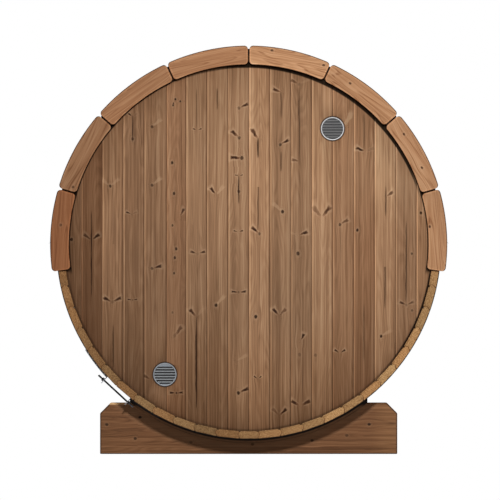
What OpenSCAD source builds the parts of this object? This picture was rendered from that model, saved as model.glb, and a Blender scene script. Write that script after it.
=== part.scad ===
// Barrel sauna: a round cabin of bead-and-cove staves in steel bands, lying on two timber cradles.
// Millimetres. Z is up and the ground is Z = 0. The barrel's axis runs along Y.
// The back end with the two vents faces -Y and the door end faces +Y. Left and right are as seen from the back.

/* [Barrel] */
// Diameter across the outer faces of the staves
barrel_d = 1996; // [1840:4:2200]
// Length of the staves
stave_l = 1744; // [1500:4:2400]
// Thickness of a stave
stave_t = 42; // [38:1:50]
// Width that each stave aims at, from which the count follows
stave_w = 119; // [104:1:130]
// Width of the bottom stave, which has a bead on both edges
key_w = 96; // [84:1:112]
// Chamfer along the edges of a stave
stave_chamfer = 4; // [2:0.5:5]
// Height of the bead on the edge of a stave
bead_h = 9; // [5:0.5:10]
// Gap left between neighbouring staves
joint_gap = 0.6; // [0.4:0.1:1]
// Clearance between pieces that are laid on each other
fit = 0.2; // [0.1:0.05:0.4]

/* [End walls] */
// Thickness of a wall board
wall_t = 42; // [36:1:48]
// Depth of the wall's face behind the stave ends
chime = 25; // [20:1:40]
// Cover width of a wall board
board_w = 109; // [96:1:120]
// Gap between the faces of two boards
board_gap = 1.2; // [0.8:0.1:2]
// Chamfer along the edges of a board
board_chamfer = 4; // [2:0.5:6]
// Thickness of a board's tongue
tongue_t = 12; // [9:0.5:14]
// Length of a board's tongue
tongue_l = 9; // [6:0.5:12]
// Depth of the groove in the staves that holds a wall
croze = 12; // [8:0.5:15]

/* [Vents] */
// Diameter of a vent's rim
vent_d = 125; // [116:1:140]
// Width of the rim
vent_rim = 8; // [6:0.5:11]
// Outer diameter of the sleeve through the wall
sleeve_d = 100; // [90:1:104]
// Thickness of the sleeve
sleeve_t = 2; // [1.5:0.1:3]
// How many slats a vent has
slat_count = 7; // [6:1:8]
// Thickness of a slat
slat_t = 1.8; // [1.4:0.1:2.4]
// How many boards the vents lie from the middle of the wall
vent_board = 4; // [3:1:4]
// Distance of the upper vent's middle from the inner faces of the staves
upper_vent_in = 202; // [180:1:230]
// Distance of the lower vent's middle from the inner faces of the staves
lower_vent_in = 162; // [150:1:200]

/* [Door] */
// How many wall boards the doorway takes up
door_boards = 6; // [4:2:6]
// Wall left over the doorway's upper corners
wall_over_door = 50; // [36:1:90]
// Wall left under the doorway's lower corners
wall_under_door = 98; // [60:1:160]
// Width of the door frame
frame_w = 44; // [36:1:56]
// How far the frame stands into the cabin
frame_in = 10; // [6:1:16]
// Width of the stop along the jambs
stop_w = 12; // [9:0.5:16]
// Thickness of the door leaf
leaf_t = 28; // [24:1:30]
// Depth of the leaf behind the frame's face
leaf_back = 4; // [2:0.5:6]
// Gap around the leaf
leaf_gap = 4; // [3:0.5:6]
// Height of a ledge behind the leaf
ledge_h = 110; // [90:1:130]
// Thickness of a ledge
ledge_t = 22; // [18:1:28]
// Diameter of the pull handle
handle_d = 24; // [20:1:26]
// Length of the pull handle
handle_l = 420; // [300:5:520]
// Room for the hand behind the handle
handle_room = 27; // [24:0.5:28]
// Height of a hinge
hinge_h = 90; // [70:1:110]
// Width of a hinge plate
hinge_w = 34; // [26:1:38]

/* [Trim] */
// How many boards make one trim arch
trim_count = 8; // [6:2:10]
// How far the trim reaches over the outer faces of the staves
trim_reach = 35; // [30:1:42]
// Width of a trim board
trim_w = 97.5; // [86:0.5:110]
// Thickness of a trim board
trim_t = 28; // [22:1:34]
// Height of the arch's middle over the barrel's axis
trim_lift = 14.5; // [10:0.5:18]
// Gap between two trim boards
trim_gap = 8; // [5:0.5:12]
// Radius of a trim board's corners
trim_corner = 19; // [12:1:24]
// Angle that the arch runs on below the level of its middle
trim_drop = 8.2; // [5:0.1:12]

/* [Roof] */
// How far the trim's outer edge stands over the roof felt
trim_over = 16.5; // [12:0.5:20]
// How many courses of felt cover the roof
felt_count = 6; // [6:2:8]
// Angle of the felt's lower edges over the level of the axis
eave_angle = 4; // [3:0.25:8]
// Thickness of the eave flashing
flash_t = 1; // [0.8:0.1:1.6]
// Angle that the flashing runs on under the felt
flash_under = 5; // [4:0.25:8]
// Reach of the flashing's lip over the outer faces of the staves
lip_reach = 41; // [32:1:50]
// Height of the lip's tip over the axis
lip_h = 17; // [10:1:24]

/* [Bands] */
// Width of a band
band_w = 36; // [28:1:44]
// Thickness of a band
band_t = 1; // [0.8:0.1:1.6]
// Distance of a band's middle from the stave ends
band_in = 100; // [80:1:130]
// Angle of the tensioner below the level of the axis
tension_angle = 47.3; // [44:0.1:52]
// Distance between the two ears of a tensioner
ear_span = 162; // [130:1:190]
// Height of an ear over the band
ear_h = 43; // [36:1:50]
// Thickness of an ear and its foot
ear_t = 4; // [3:0.5:6]
// Angle that the foot of an ear covers on the band
foot_angle = 10.5; // [7:0.5:13]
// Diameter of the tension rod
rod_d = 10; // [8:1:12]
// Length of the tension rod
rod_l = 245; // [215:1:280]
// Height of the rod over the staves' outer faces
rod_h = 22; // [20:0.5:28]

/* [Cradles] */
// Width of a cradle
cradle_w = 1546; // [1420:2:1700]
// Timber left under the middle of the saddle
cradle_base = 59; // [45:1:120]
// How far the cradle's top rises over the lowest point of the saddle
cradle_rise = 209; // [150:1:230]
// Thickness of a cradle
cradle_t = 70; // [60:1:100]
// Distance of a cradle from the stave ends
cradle_in = 230; // [200:1:320]
// Chamfer on the upper corners of a cradle
cradle_chamfer = 56; // [40:1:80]
// Thickness of the saddle pad
pad_t = 18; // [12:0.5:20]

/* [Output] */
// Piece to build, or all

/* [Hidden] */
$fn = 256;
r_out = barrel_d / 2;
r_in = r_out - stave_t;
half_l = stave_l / 2;
key_a = 2 * atan(key_w / 2 / r_out);
want_a = 2 * atan(stave_w / 2 / r_out);
// Staves besides the bottom one: two sides, and the stave that closes the round between them
stave_n = round((360 - key_a) / want_a);
stave_a = (360 - key_a) / stave_n;
left_n = floor(stave_n / 2);
right_n = stave_n - left_n - 1;
floor_n = round(stave_n * 0.1);
lower_n = round(stave_n * 0.25);
upper_n = round(stave_n * 0.385);
bead_r = stave_t / 2 - 2;
r_mid = (r_out + r_in) / 2;
// Radius around the corners of the staves, and of the layers laid over them
half_face = r_out * tan(stave_a / 2) - stave_chamfer;
r_shell = sqrt(r_out * r_out + half_face * half_face);
band_ri = r_shell + fit;
band_ro = band_ri + band_t;
flash_ri = band_ro + fit;
flash_ro = flash_ri + flash_t;
felt_ri = flash_ro + fit;
foot_ri = band_ro + fit;
foot_ro = foot_ri + ear_t;
pad_ri = r_shell + fit;
pad_ro = pad_ri + pad_t;
saddle_r = pad_ro + fit;
// Walls
wall_out = half_l - chime;
wall_in = wall_out - wall_t;
wall_r = r_in + croze - 0.6;
wall_n = round(wall_r / board_w);
sleeve_r = sleeve_d / 2;
hole_r = sleeve_r + 0.5;
vent_x = vent_board * board_w;
upper_vent_y = sqrt(pow(r_in - upper_vent_in, 2) - vent_x * vent_x);
lower_vent_y = -sqrt(pow(r_in - lower_vent_in, 2) - vent_x * vent_x);
// Door
door_k = door_boards / 2;
door_x = door_k * board_w;
door_corner = sqrt(r_in * r_in - door_x * door_x);
door_top = door_corner - wall_over_door;
door_foot = wall_under_door - door_corner;
jamb_out = door_x - 0.5;
jamb_in = jamb_out - frame_w;
leaf_x = jamb_in - leaf_gap;
leaf_top = door_top - 0.5 - frame_w - leaf_gap;
leaf_foot = door_foot + 0.5 + frame_w + leaf_gap;
leaf_out = wall_out - leaf_back;
leaf_in = leaf_out - leaf_t;
leaf_n = round(2 * leaf_x / board_w);
leaf_board = 2 * leaf_x / leaf_n;
// Trim
trim_ro = r_out + trim_reach;
trim_ri = trim_ro - trim_w;
// The felt's outer face is round about the middle of the trim arch
felt_ro = trim_ro - trim_over;
trim_a = (180 + 2 * trim_drop) / trim_count;
// Bands and cradles
band_z = half_l - band_in;
ear_x = ear_span / 2;
rod_y = r_out + rod_h;
cradle_y = cradle_rise - saddle_r;
// Half the saddle's width at the cradle's top, where the pad ends
saddle_x = sqrt(saddle_r * saddle_r - cradle_y * cradle_y);
axis_h = saddle_r + cradle_base;

// Frames: X right and Y up as seen from the back, Z out of the back end, zero on the barrel's axis
module in_barrel() {
    translate([0, 0, axis_h]) rotate([90, 0, 0]) children();
}
module front_end() {
    mirror([0, 0, 1]) children();
}
module at_tensioner() {
    rotate([0, 0, 90 + tension_angle]) children();
}

// A fan of directions from a to b, as degrees from X, for cutting rings
module fan(a, b, r) {
    steps = 8;
    polygon(concat([[0, 0]], [for (i = [0:steps]) let (t = a + (b - a) * i / steps) [r * cos(t), r * sin(t)]]));
}
module ring(ro, ri) {
    difference() {
        circle(r = ro);
        circle(r = ri);
    }
}
module arc_ring(ro, ri, a, b) {
    intersection() {
        ring(ro, ri);
        fan(a, b, ro * 1.2);
    }
}

// Staves, drawn at the bottom of the barrel with their outer face down
function side_x(r, a) = r * tan(a / 2) - joint_gap / 2;
module stave_plank(a) {
    c = stave_chamfer;
    polygon([
        [c - side_x(r_out, a), -r_out], [side_x(r_out, a) - c, -r_out],
        [side_x(r_out - c, a), c - r_out], [side_x(r_in + c, a), -r_in - c],
        [side_x(r_in, a) - c, -r_in], [c - side_x(r_in, a), -r_in],
        [-side_x(r_in + c, a), -r_in - c], [-side_x(r_out - c, a), c - r_out]
    ]);
}
// The bead of one stave on the joint at this angle from straight down, rising towards larger angles
module bead(joint_a, r) {
    rotate(joint_a) translate([bead_h - bead_r, -r_mid]) circle(r = r, $fn = 96);
}
module stave_cut() {
    for (s = [-1, 1])
        translate([-stave_w, -r_in - croze, s * (wall_in + wall_out) / 2 - wall_t / 2 - fit])
            cube([2 * stave_w, croze + stave_t, wall_t + 2 * fit]);
}
module key_stave() {
    difference() {
        linear_extrude(stave_l, center = true) {
            stave_plank(key_a);
            bead(key_a / 2, bead_r);
            mirror([1, 0]) bead(key_a / 2, bead_r);
        }
        stave_cut();
    }
}
module plain_stave() {
    difference() {
        linear_extrude(stave_l, center = true) difference() {
            union() {
                stave_plank(stave_a);
                bead(stave_a / 2, bead_r);
            }
            bead(-stave_a / 2, bead_r + joint_gap);
        }
        stave_cut();
    }
}
module closing_stave() {
    rotate(key_a / 2 + stave_a * (right_n + 0.5)) difference() {
        linear_extrude(stave_l, center = true) difference() {
            stave_plank(stave_a);
            bead(-stave_a / 2, bead_r + joint_gap);
            mirror([1, 0]) bead(-stave_a / 2, bead_r + joint_gap);
        }
        stave_cut();
    }
}
module right_staves(first, last) {
    for (k = [first:last]) rotate(key_a / 2 + stave_a * (k - 0.5)) plain_stave();
}
module left_staves(first, last) {
    mirror([1, 0, 0]) right_staves(first, last);
}

// End walls of tongued and grooved boards, with their outer face towards +Z
module board_plan(x0, x1, z0, z1, groove, tongue) {
    a = x0 + board_gap / 2;
    b = x1 - board_gap / 2;
    c = board_chamfer;
    zm = (z0 + z1) / 2;
    h = tongue_t / 2;
    g = h + 0.5;
    tongue_pts = [[b, zm + h], [x1 + tongue_l - 2, zm + h], [x1 + tongue_l - 2, zm - h], [b, zm - h]];
    groove_pts = [[a, zm - g], [x0 + tongue_l, zm - g], [x0 + tongue_l, zm + g], [a, zm + g]];
    polygon(concat(
        [[a + c, z1], [b - c, z1], [b, z1 - c]], tongue ? tongue_pts : [],
        [[b, z0 + c], [b - c, z0], [a + c, z0], [a, z0 + c]], groove ? groove_pts : [],
        [[a, z1 - c]]
    ));
}
module board(x0, x1, y0, y1, z0, z1, groove = true, tongue = true) {
    translate([0, y1, 0]) rotate([90, 0, 0]) linear_extrude(y1 - y0)
        board_plan(x0, x1, z0, z1, groove, tongue);
}
// Board k counts from the middle, 0 to wall_n - 1 to the right and -1 to -wall_n to the left
module wall_board(k, y0, y1) {
    first = k == -wall_n;
    last = k == wall_n - 1;
    x0 = first ? -wall_r - 20 : k * board_w;
    x1 = last ? wall_r + 20 : (k + 1) * board_w;
    intersection() {
        board(x0, x1, y0, y1, wall_in, wall_out);
        translate([0, 0, wall_in - 1]) cylinder(r = wall_r, h = wall_t + 2);
    }
}
module vent_hole(x, y) {
    translate([x, y, wall_in - 1]) cylinder(r = hole_r, h = wall_t + 2);
}
module doorway() {
    translate([-door_x, door_foot, wall_in - 1]) cube([2 * door_x, door_top - door_foot, wall_t + 2]);
}
module back_wall(first, last) {
    for (k = [first:last]) difference() {
        wall_board(k, -wall_r - 10, wall_r + 10);
        vent_hole(vent_x, upper_vent_y);
        vent_hole(-vent_x, lower_vent_y);
    }
}
module front_wall(first, last, y0, y1) {
    front_end() for (k = [first:last]) difference() {
        wall_board(k, y0, y1);
        doorway();
    }
}

// Vents: a rim with slanted slats on the wall's face, and a sleeve through the wall
module vent_grille(x, y) {
    r = vent_d / 2;
    ri = r - vent_rim;
    pitch = 2 * ri / (slat_count + 0.8);
    translate([x, y, wall_out]) {
        rotate_extrude() polygon([[ri, 0.2], [r, 0.2], [r, 5], [r - 3, 9], [ri + 2, 9], [ri, 7]]);
        for (i = [0:slat_count - 1]) intersection() {
            translate([0, (i - (slat_count - 1) / 2) * pitch, 4.2]) rotate([-42, 0, 0])
                cube([vent_d, 9.4, slat_t], center = true);
            translate([0, 0, 0.3]) cylinder(r = ri + 0.6, h = 8);
        }
    }
}
module vent_sleeve(x, y) {
    translate([x, y, wall_in - 3]) linear_extrude(wall_t + 3) ring(sleeve_r, sleeve_r - sleeve_t);
}

// Door
module jamb(side) {
    front_end() translate([0, leaf_top + leaf_gap, 0]) rotate([90, 0, 0])
        linear_extrude(leaf_top - leaf_foot + 2 * leaf_gap) scale([side, 1]) polygon([
            [jamb_out, wall_in - frame_in], [jamb_out, wall_out], [jamb_in, wall_out],
            [jamb_in, leaf_in - 0.5], [jamb_in - stop_w, leaf_in - 0.5], [jamb_in - stop_w, wall_in - frame_in]
        ]);
}
module frame_rail(y0, y1) {
    front_end() translate([-jamb_out, y0, wall_in - frame_in])
        cube([2 * jamb_out, y1 - y0, wall_t + frame_in]);
}
module leaf_boards() {
    front_end() for (i = [0:leaf_n - 1])
        board(i * leaf_board - leaf_x, (i + 1) * leaf_board - leaf_x, leaf_foot, leaf_top,
            leaf_in, leaf_out, i > 0, i < leaf_n - 1);
}
module ledges() {
    w = jamb_in - stop_w - 8;
    front_end() for (t = [0.12, 0.5, 0.88])
        translate([-w, leaf_foot + (leaf_top - leaf_foot) * t - ledge_h / 2, leaf_in - ledge_t])
            cube([2 * w, ledge_h, ledge_t]);
}
module hinges() {
    x = jamb_in - leaf_gap / 2;
    web = leaf_gap / 2 - 0.5;
    front_end() for (t = [0.12, 0.5, 0.88]) translate([-x, leaf_foot + (leaf_top - leaf_foot) * t, 0]) {
        translate([-hinge_w, -hinge_h / 2, wall_out + 0.1]) cube([hinge_w + web, hinge_h, 2.5]);
        translate([-web, -hinge_h / 2, leaf_out + 0.1]) cube([web + hinge_w, hinge_h, 2.5]);
        translate([-web, -hinge_h / 2, leaf_out + 0.1]) cube([2 * web, hinge_h, leaf_back + 2]);
        translate([0, hinge_h / 2, wall_out + 6.3]) rotate([90, 0, 0]) cylinder(r = 6, h = hinge_h, $fn = 96);
    }
}
module pull_handle() {
    bar_z = leaf_out + handle_room + handle_d / 2;
    front_end() translate([leaf_x - leaf_board / 2, (leaf_top + leaf_foot) / 2, 0]) {
        translate([0, handle_l / 2, bar_z]) rotate([90, 0, 0]) cylinder(d = handle_d, h = handle_l, $fn = 96);
        for (s = [-1, 1]) translate([0, s * handle_l * 0.36, leaf_out])
            cylinder(d = handle_d * 0.7, h = handle_room + handle_d / 2, $fn = 96);
    }
}

// Trim boards with rounded corners, drawn around the straight-up direction
module trim_board() {
    h = trim_a / 2;
    c = trim_corner;
    off = trim_gap / 2 + c;
    co = h - asin(off / (trim_ro - c));
    ci = h - asin(off / (trim_ri + c));
    lo = trim_ro - c;
    li = trim_ri + c;
    e = h - asin(trim_gap / 2 / trim_ro);
    ei = h - asin(trim_gap / 2 / trim_ri);
    big = 1.05;
    small = 0.95;
    linear_extrude(trim_t) {
        intersection() {
            ring(trim_ro, trim_ri);
            polygon([
                trim_ro * big * [-sin(co + (co - ci) * 0.55), cos(co)], trim_ri * small * [-sin(ci), cos(ci)],
                trim_ri * small * [sin(ci), cos(ci)], trim_ro * big * [sin(co + (co - ci) * 0.55), cos(co)]
            ]);
        }
        intersection() {
            ring(lo, li);
            polygon([
                [-trim_ro * big * sin(h) + trim_gap / 2 * cos(h), trim_ro * big * cos(h) + trim_gap / 2 * sin(h)],
                [-trim_ri * small * sin(h) + trim_gap / 2 * cos(h), trim_ri * small * cos(h) + trim_gap / 2 * sin(h)],
                [trim_ri * small * sin(h) - trim_gap / 2 * cos(h), trim_ri * small * cos(h) + trim_gap / 2 * sin(h)],
                [trim_ro * big * sin(h) - trim_gap / 2 * cos(h), trim_ro * big * cos(h) + trim_gap / 2 * sin(h)]
            ]);
        }
        for (s = [-1, 1]) {
            translate([s * lo * sin(co), lo * cos(co)]) circle(r = c, $fn = 96);
            translate([s * li * sin(ci), li * cos(ci)]) circle(r = c, $fn = 96);
        }
    }
}
module trim_side(side) {
    n = trim_count / 2;
    for (i = [0:n - 1]) translate([0, trim_lift, half_l])
        rotate(-side * trim_a * (i + 0.5)) trim_board();
}

// Roof felt and the flared flashing along each eave
module felt() {
    a = (180 - 2 * eave_angle) / felt_count;
    gap = 0.03;
    for (i = [0:felt_count - 1]) linear_extrude(stave_l - 2 * fit, center = true) intersection() {
        difference() {
            translate([0, trim_lift]) circle(r = felt_ro);
            circle(r = felt_ri);
        }
        fan(eave_angle + a * i + gap, eave_angle + a * (i + 1) - gap, felt_ro * 1.2);
    }
}
module flashing() {
    steps = 8;
    low = eave_angle - 0.15;
    high = eave_angle + flash_under;
    turn = [for (i = [0:steps]) let (a = high + (low - high) * i / steps) [cos(a), sin(a)]];
    tip = [r_out + lip_reach, lip_h];
    d = tip - flash_ri * turn[steps];
    n = [-d[1], d[0]] * flash_t / norm(d);
    linear_extrude(stave_l - 2 * fit, center = true) polygon(concat(
        [for (p = turn) flash_ro * p], [tip + n, tip], [for (i = [0:steps]) flash_ri * turn[steps - i]]
    ));
}

// Bands with their tensioners, drawn around the straight-up direction
module band() {
    a = asin(ear_x / band_ro);
    at_tensioner() translate([0, 0, band_z - band_w / 2]) linear_extrude(band_w) difference() {
        ring(band_ro, band_ri);
        fan(90 - a, 90 + a, band_ro * 1.2);
    }
}
module ear() {
    a = asin(ear_x / foot_ri);
    base = sqrt(foot_ri * foot_ri - ear_x * ear_x);
    translate([0, 0, band_z]) difference() {
        translate([0, 0, -band_w / 2]) linear_extrude(band_w) {
            arc_ring(foot_ro, foot_ri, 90 - a - foot_angle, 90 - a);
            translate([ear_x, base]) square([ear_t, ear_h]);
        }
        translate([ear_x - 20, rod_y, 0]) rotate([0, 90, 0]) cylinder(d = rod_d + 1, h = 44, $fn = 96);
    }
}
module ears() {
    at_tensioner() {
        ear();
        mirror([1, 0, 0]) ear();
    }
}
module rod() {
    nut = rod_d * 0.8;
    at_tensioner() translate([0, rod_y, band_z]) rotate([0, 90, 0]) {
        translate([0, 0, -rod_l / 2]) cylinder(d = rod_d, h = rod_l, $fn = 96);
        for (s = [0, 1]) mirror([0, 0, s]) translate([0, 0, ear_x + ear_t + fit]) {
            cylinder(d = rod_d * 2, h = 2, $fn = 96);
            cylinder(d = rod_d * 1.9, h = nut + 2, $fn = 6);
        }
    }
}

// Cradles with a padded saddle
module cradle() {
    x = cradle_w / 2;
    c = cradle_chamfer;
    translate([0, 0, half_l - cradle_in - cradle_t]) linear_extrude(cradle_t) difference() {
        polygon([[-x, -axis_h], [x, -axis_h], [x, cradle_y - c], [x - c, cradle_y], [c - x, cradle_y], [-x, cradle_y - c]]);
        circle(r = saddle_r);
    }
}
module cradle_pad() {
    translate([0, 0, half_l - cradle_in - cradle_t]) linear_extrude(cradle_t) intersection() {
        difference() {
            circle(r = pad_ro);
            circle(r = pad_ri);
        }
        translate([-saddle_x, -pad_ro - 1]) square([2 * saddle_x, pad_ro]);
    }
}

// Pieces
module floor_staves() { color("#a87c52") in_barrel() { key_stave(); right_staves(1, floor_n); left_staves(1, floor_n); } }
module left_lower_staves() { color("#a87c52") in_barrel() left_staves(floor_n + 1, lower_n); }
module right_lower_staves() { color("#a87c52") in_barrel() right_staves(floor_n + 1, lower_n); }
module left_upper_staves() { color("#a87c52") in_barrel() left_staves(lower_n + 1, upper_n); }
module right_upper_staves() { color("#a87c52") in_barrel() right_staves(lower_n + 1, upper_n); }
module crown_staves() {
    color("#a87c52") in_barrel() {
        closing_stave();
        right_staves(upper_n + 1, right_n);
        left_staves(upper_n + 1, left_n);
    }
}
module back_wall_left() { color("#8f6a4a") in_barrel() back_wall(-wall_n, -1); }
module back_wall_right() { color("#8f6a4a") in_barrel() back_wall(0, wall_n - 1); }
module front_wall_left() { color("#8f6a4a") in_barrel() front_wall(-wall_n, -door_k - 1, -wall_r - 10, wall_r + 10); }
module front_wall_right() { color("#8f6a4a") in_barrel() front_wall(door_k, wall_n - 1, -wall_r - 10, wall_r + 10); }
module front_wall_over_door() { color("#8f6a4a") in_barrel() front_wall(-door_k, door_k - 1, door_top - 5, wall_r + 10); }
module front_wall_under_door() { color("#8f6a4a") in_barrel() front_wall(-door_k, door_k - 1, -wall_r - 10, door_foot + 5); }
module door_jamb_left() { color("#9a7048") in_barrel() jamb(-1); }
module door_jamb_right() { color("#9a7048") in_barrel() jamb(1); }
module door_head() { color("#9a7048") in_barrel() frame_rail(leaf_top + leaf_gap, door_top - 0.5); }
module door_sill() { color("#9a7048") in_barrel() frame_rail(door_foot + 0.5, leaf_foot - leaf_gap); }
module door_leaf() { color("#946c48") in_barrel() leaf_boards(); }
module door_ledges() { color("#946c48") in_barrel() ledges(); }
module door_hinges() { color("#2a2a2c") in_barrel() hinges(); }
module door_handle() { color("#9a7048") in_barrel() pull_handle(); }
module upper_vent() { color("#c9cbcd") in_barrel() vent_grille(vent_x, upper_vent_y); }
module lower_vent() { color("#c9cbcd") in_barrel() vent_grille(-vent_x, lower_vent_y); }
module upper_vent_sleeve() { color("#a9abad") in_barrel() vent_sleeve(vent_x, upper_vent_y); }
module lower_vent_sleeve() { color("#a9abad") in_barrel() vent_sleeve(-vent_x, lower_vent_y); }
module back_trim_left() { color("#b98a5e") in_barrel() trim_side(-1); }
module back_trim_right() { color("#b98a5e") in_barrel() trim_side(1); }
module front_trim_left() { color("#b98a5e") in_barrel() front_end() trim_side(-1); }
module front_trim_right() { color("#b98a5e") in_barrel() front_end() trim_side(1); }
module roof_felt() { color("#26272a") in_barrel() felt(); }
module left_eave_flashing() { color("#1d1e20") in_barrel() mirror([1, 0, 0]) flashing(); }
module right_eave_flashing() { color("#1d1e20") in_barrel() flashing(); }
module back_band() { color("#8d9094") in_barrel() band(); }
module front_band() { color("#8d9094") in_barrel() front_end() band(); }
module back_tension_ears() { color("#6d7074") in_barrel() ears(); }
module front_tension_ears() { color("#6d7074") in_barrel() front_end() ears(); }
module back_tension_rod() { color("#3a3c40") in_barrel() rod(); }
module front_tension_rod() { color("#3a3c40") in_barrel() front_end() rod(); }
module back_cradle() { color("#6f4f36") in_barrel() cradle(); }
module front_cradle() { color("#6f4f36") in_barrel() front_end() cradle(); }
module back_cradle_pad() { color("#161616") in_barrel() cradle_pad(); }
module front_cradle_pad() { color("#161616") in_barrel() front_end() cradle_pad(); }

floor_staves();
left_lower_staves();
right_lower_staves();
left_upper_staves();
right_upper_staves();
crown_staves();
back_wall_left();
back_wall_right();
front_wall_left();
front_wall_right();
front_wall_over_door();
front_wall_under_door();
door_jamb_left();
door_jamb_right();
door_head();
door_sill();
door_leaf();
door_ledges();
door_hinges();
door_handle();
upper_vent();
lower_vent();
upper_vent_sleeve();
lower_vent_sleeve();
back_trim_left();
back_trim_right();
front_trim_left();
front_trim_right();
roof_felt();
left_eave_flashing();
right_eave_flashing();
back_band();
front_band();
back_tension_ears();
front_tension_ears();
back_tension_rod();
front_tension_rod();
back_cradle();
front_cradle();
back_cradle_pad();
front_cradle_pad();
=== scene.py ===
"""Barrel sauna seen straight on from its back end: timber, metal and felt dressed over the CAD frame."""
import math
import random

import bmesh
import bpy
from mathutils import Matrix, Vector


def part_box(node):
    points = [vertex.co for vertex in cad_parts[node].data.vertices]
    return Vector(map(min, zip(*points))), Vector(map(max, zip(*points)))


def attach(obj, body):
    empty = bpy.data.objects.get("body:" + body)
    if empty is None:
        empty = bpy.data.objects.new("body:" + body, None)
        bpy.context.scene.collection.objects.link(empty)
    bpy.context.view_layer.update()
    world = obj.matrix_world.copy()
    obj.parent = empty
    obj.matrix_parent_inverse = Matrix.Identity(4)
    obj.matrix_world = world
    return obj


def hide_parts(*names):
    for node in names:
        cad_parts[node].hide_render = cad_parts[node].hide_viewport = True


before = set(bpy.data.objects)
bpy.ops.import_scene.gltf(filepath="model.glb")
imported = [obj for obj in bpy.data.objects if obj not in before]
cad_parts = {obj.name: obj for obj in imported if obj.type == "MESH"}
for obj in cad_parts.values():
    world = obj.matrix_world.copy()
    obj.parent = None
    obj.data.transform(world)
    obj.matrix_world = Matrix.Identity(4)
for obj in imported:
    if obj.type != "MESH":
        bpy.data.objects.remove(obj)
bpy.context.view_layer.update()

# Driving sizes in metres, as in the part's source
R_OUT = 0.998
STAVE_T = 0.042
STAVE_W = 0.119
KEY_W = 0.096
STAVE_CHAMFER = 0.004
BEAD_H = 0.009
CROZE = 0.012
BOARD_W = 0.109
BOARD_GAP = 0.0006
TONGUE_T = 0.012
TONGUE_L = 0.009
TRIM_COUNT = 8
TRIM_REACH = 0.035
TRIM_W = 0.0975
TRIM_LIFT = 0.0145
TRIM_GAP = 0.008
TRIM_CORNER = 0.019
TRIM_DROP = 8.2
TRIM_ROUND = 0.007
TRIM_OVER = 0.0165
CRADLE_CHAMFER = 0.056
FELT_RI = 0.9975
FELT_T = 0.0108
EAVE_ANGLE = 4.0
VENT_R = 0.0625
VENT_RIM = 0.008
SLATS = 7
ROD_D = 0.010
EAR_X = 0.081
EAR_T = 0.004
ROD_L = 0.245
ROD_RISE = 0.022
TENSION_ANGLE = 47.3

# Sizes of what only the looks have
CLEARANCE = 0.0005
HAIR = 0.0002
OUTER_GAP = 0.004
COURSE_N = 11
TAB_L = 0.29
TAB_TOP = 0.0004
TAB_SINK = 0.0068
BASE_SINK = 0.0105
ROD_PITCH = 0.0015
STRAP_FILL = 0.0045
STOP_W = 0.012
LEAF_N = 5
LEDGE_W = 0.11
TRIM_DARK_FROM = -0.1235

# Places read from the frame
AXIS = (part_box("back_band")[0][2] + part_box("back_band")[1][2]) / 2
HALF_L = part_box("floor_staves")[1][1]
WALL_OUT = -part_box("back_wall_left")[0][1]
WALL_IN = -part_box("back_wall_left")[1][1]
TRIM_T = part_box("front_trim_left")[1][1] - HALF_L
BAND_Y = (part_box("back_band")[0][1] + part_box("back_band")[1][1]) / 2
CRADLE_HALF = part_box("back_cradle")[1][0]
CRADLE_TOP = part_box("back_cradle")[1][2]

R_IN = R_OUT - STAVE_T
R_MID = (R_OUT + R_IN) / 2
BEAD_R = STAVE_T / 2 - 0.002
R_WALL = R_IN + CROZE - 0.0006
KEY_A = 2 * math.atan(KEY_W / 2 / R_OUT)
STAVE_N = round((2 * math.pi - KEY_A) / (2 * math.atan(STAVE_W / 2 / R_OUT)))
STAVE_A = (2 * math.pi - KEY_A) / STAVE_N
LEFT_N = STAVE_N // 2
RIGHT_N = STAVE_N - LEFT_N - 1
BOARD_N = round(R_WALL / BOARD_W)
TRIM_RO = R_OUT + TRIM_REACH
TRIM_RI = TRIM_RO - TRIM_W
TRIM_A = math.radians(180 + 2 * TRIM_DROP) / TRIM_COUNT
FELT_RO = TRIM_RO - TRIM_OVER
ROOF_HALF = HALF_L - HAIR

X_WAY = (1, 0, 0)
Y_WAY = (0, 1, 0)
Z_WAY = (0, 0, 1)

dice = random.Random(11)


def srgb(r, g, b):
    """A colour written as 0 to 255 screen values, as linear light."""
    def line(c):
        c = c / 255
        return c / 12.92 if c <= 0.04045 else ((c + 0.055) / 1.055) ** 2.4
    return (line(r), line(g), line(b), 1.0)


def vent_place(node):
    low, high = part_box(node)
    return (low[0] + high[0]) / 2, (low[2] + high[2]) / 2


def arc_points(centre, radius, start, end, steps):
    turns = [start + (end - start) * i / steps for i in range(steps + 1)]
    return [(centre[0] + radius * math.cos(a), centre[1] + radius * math.sin(a)) for a in turns]


def circle(radius, steps):
    return arc_points((0, 0), radius, 0, 2 * math.pi, steps)[:-1]


def turned(x, y, spin):
    """A point in the plane of the barrel's end, turned by a rotation."""
    point = Vector((x, y))
    point.rotate(spin)
    return point


# Shader building

class Wire:
    """A value in a shader. Arithmetic on it adds the nodes that work it out."""

    def __init__(self, shader, socket):
        self.shader = shader
        self.socket = socket

    def __add__(self, other):
        return self.shader.math("ADD", self, other)

    def __sub__(self, other):
        return self.shader.math("SUBTRACT", self, other)

    def __rsub__(self, other):
        return self.shader.math("SUBTRACT", other, self)

    def __mul__(self, other):
        return self.shader.math("MULTIPLY", self, other)

    def __truediv__(self, other):
        return self.shader.math("DIVIDE", self, other)

    def __pow__(self, other):
        return self.shader.math("POWER", self, other)

    def __abs__(self):
        return self.shader.math("ABSOLUTE", self)


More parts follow.
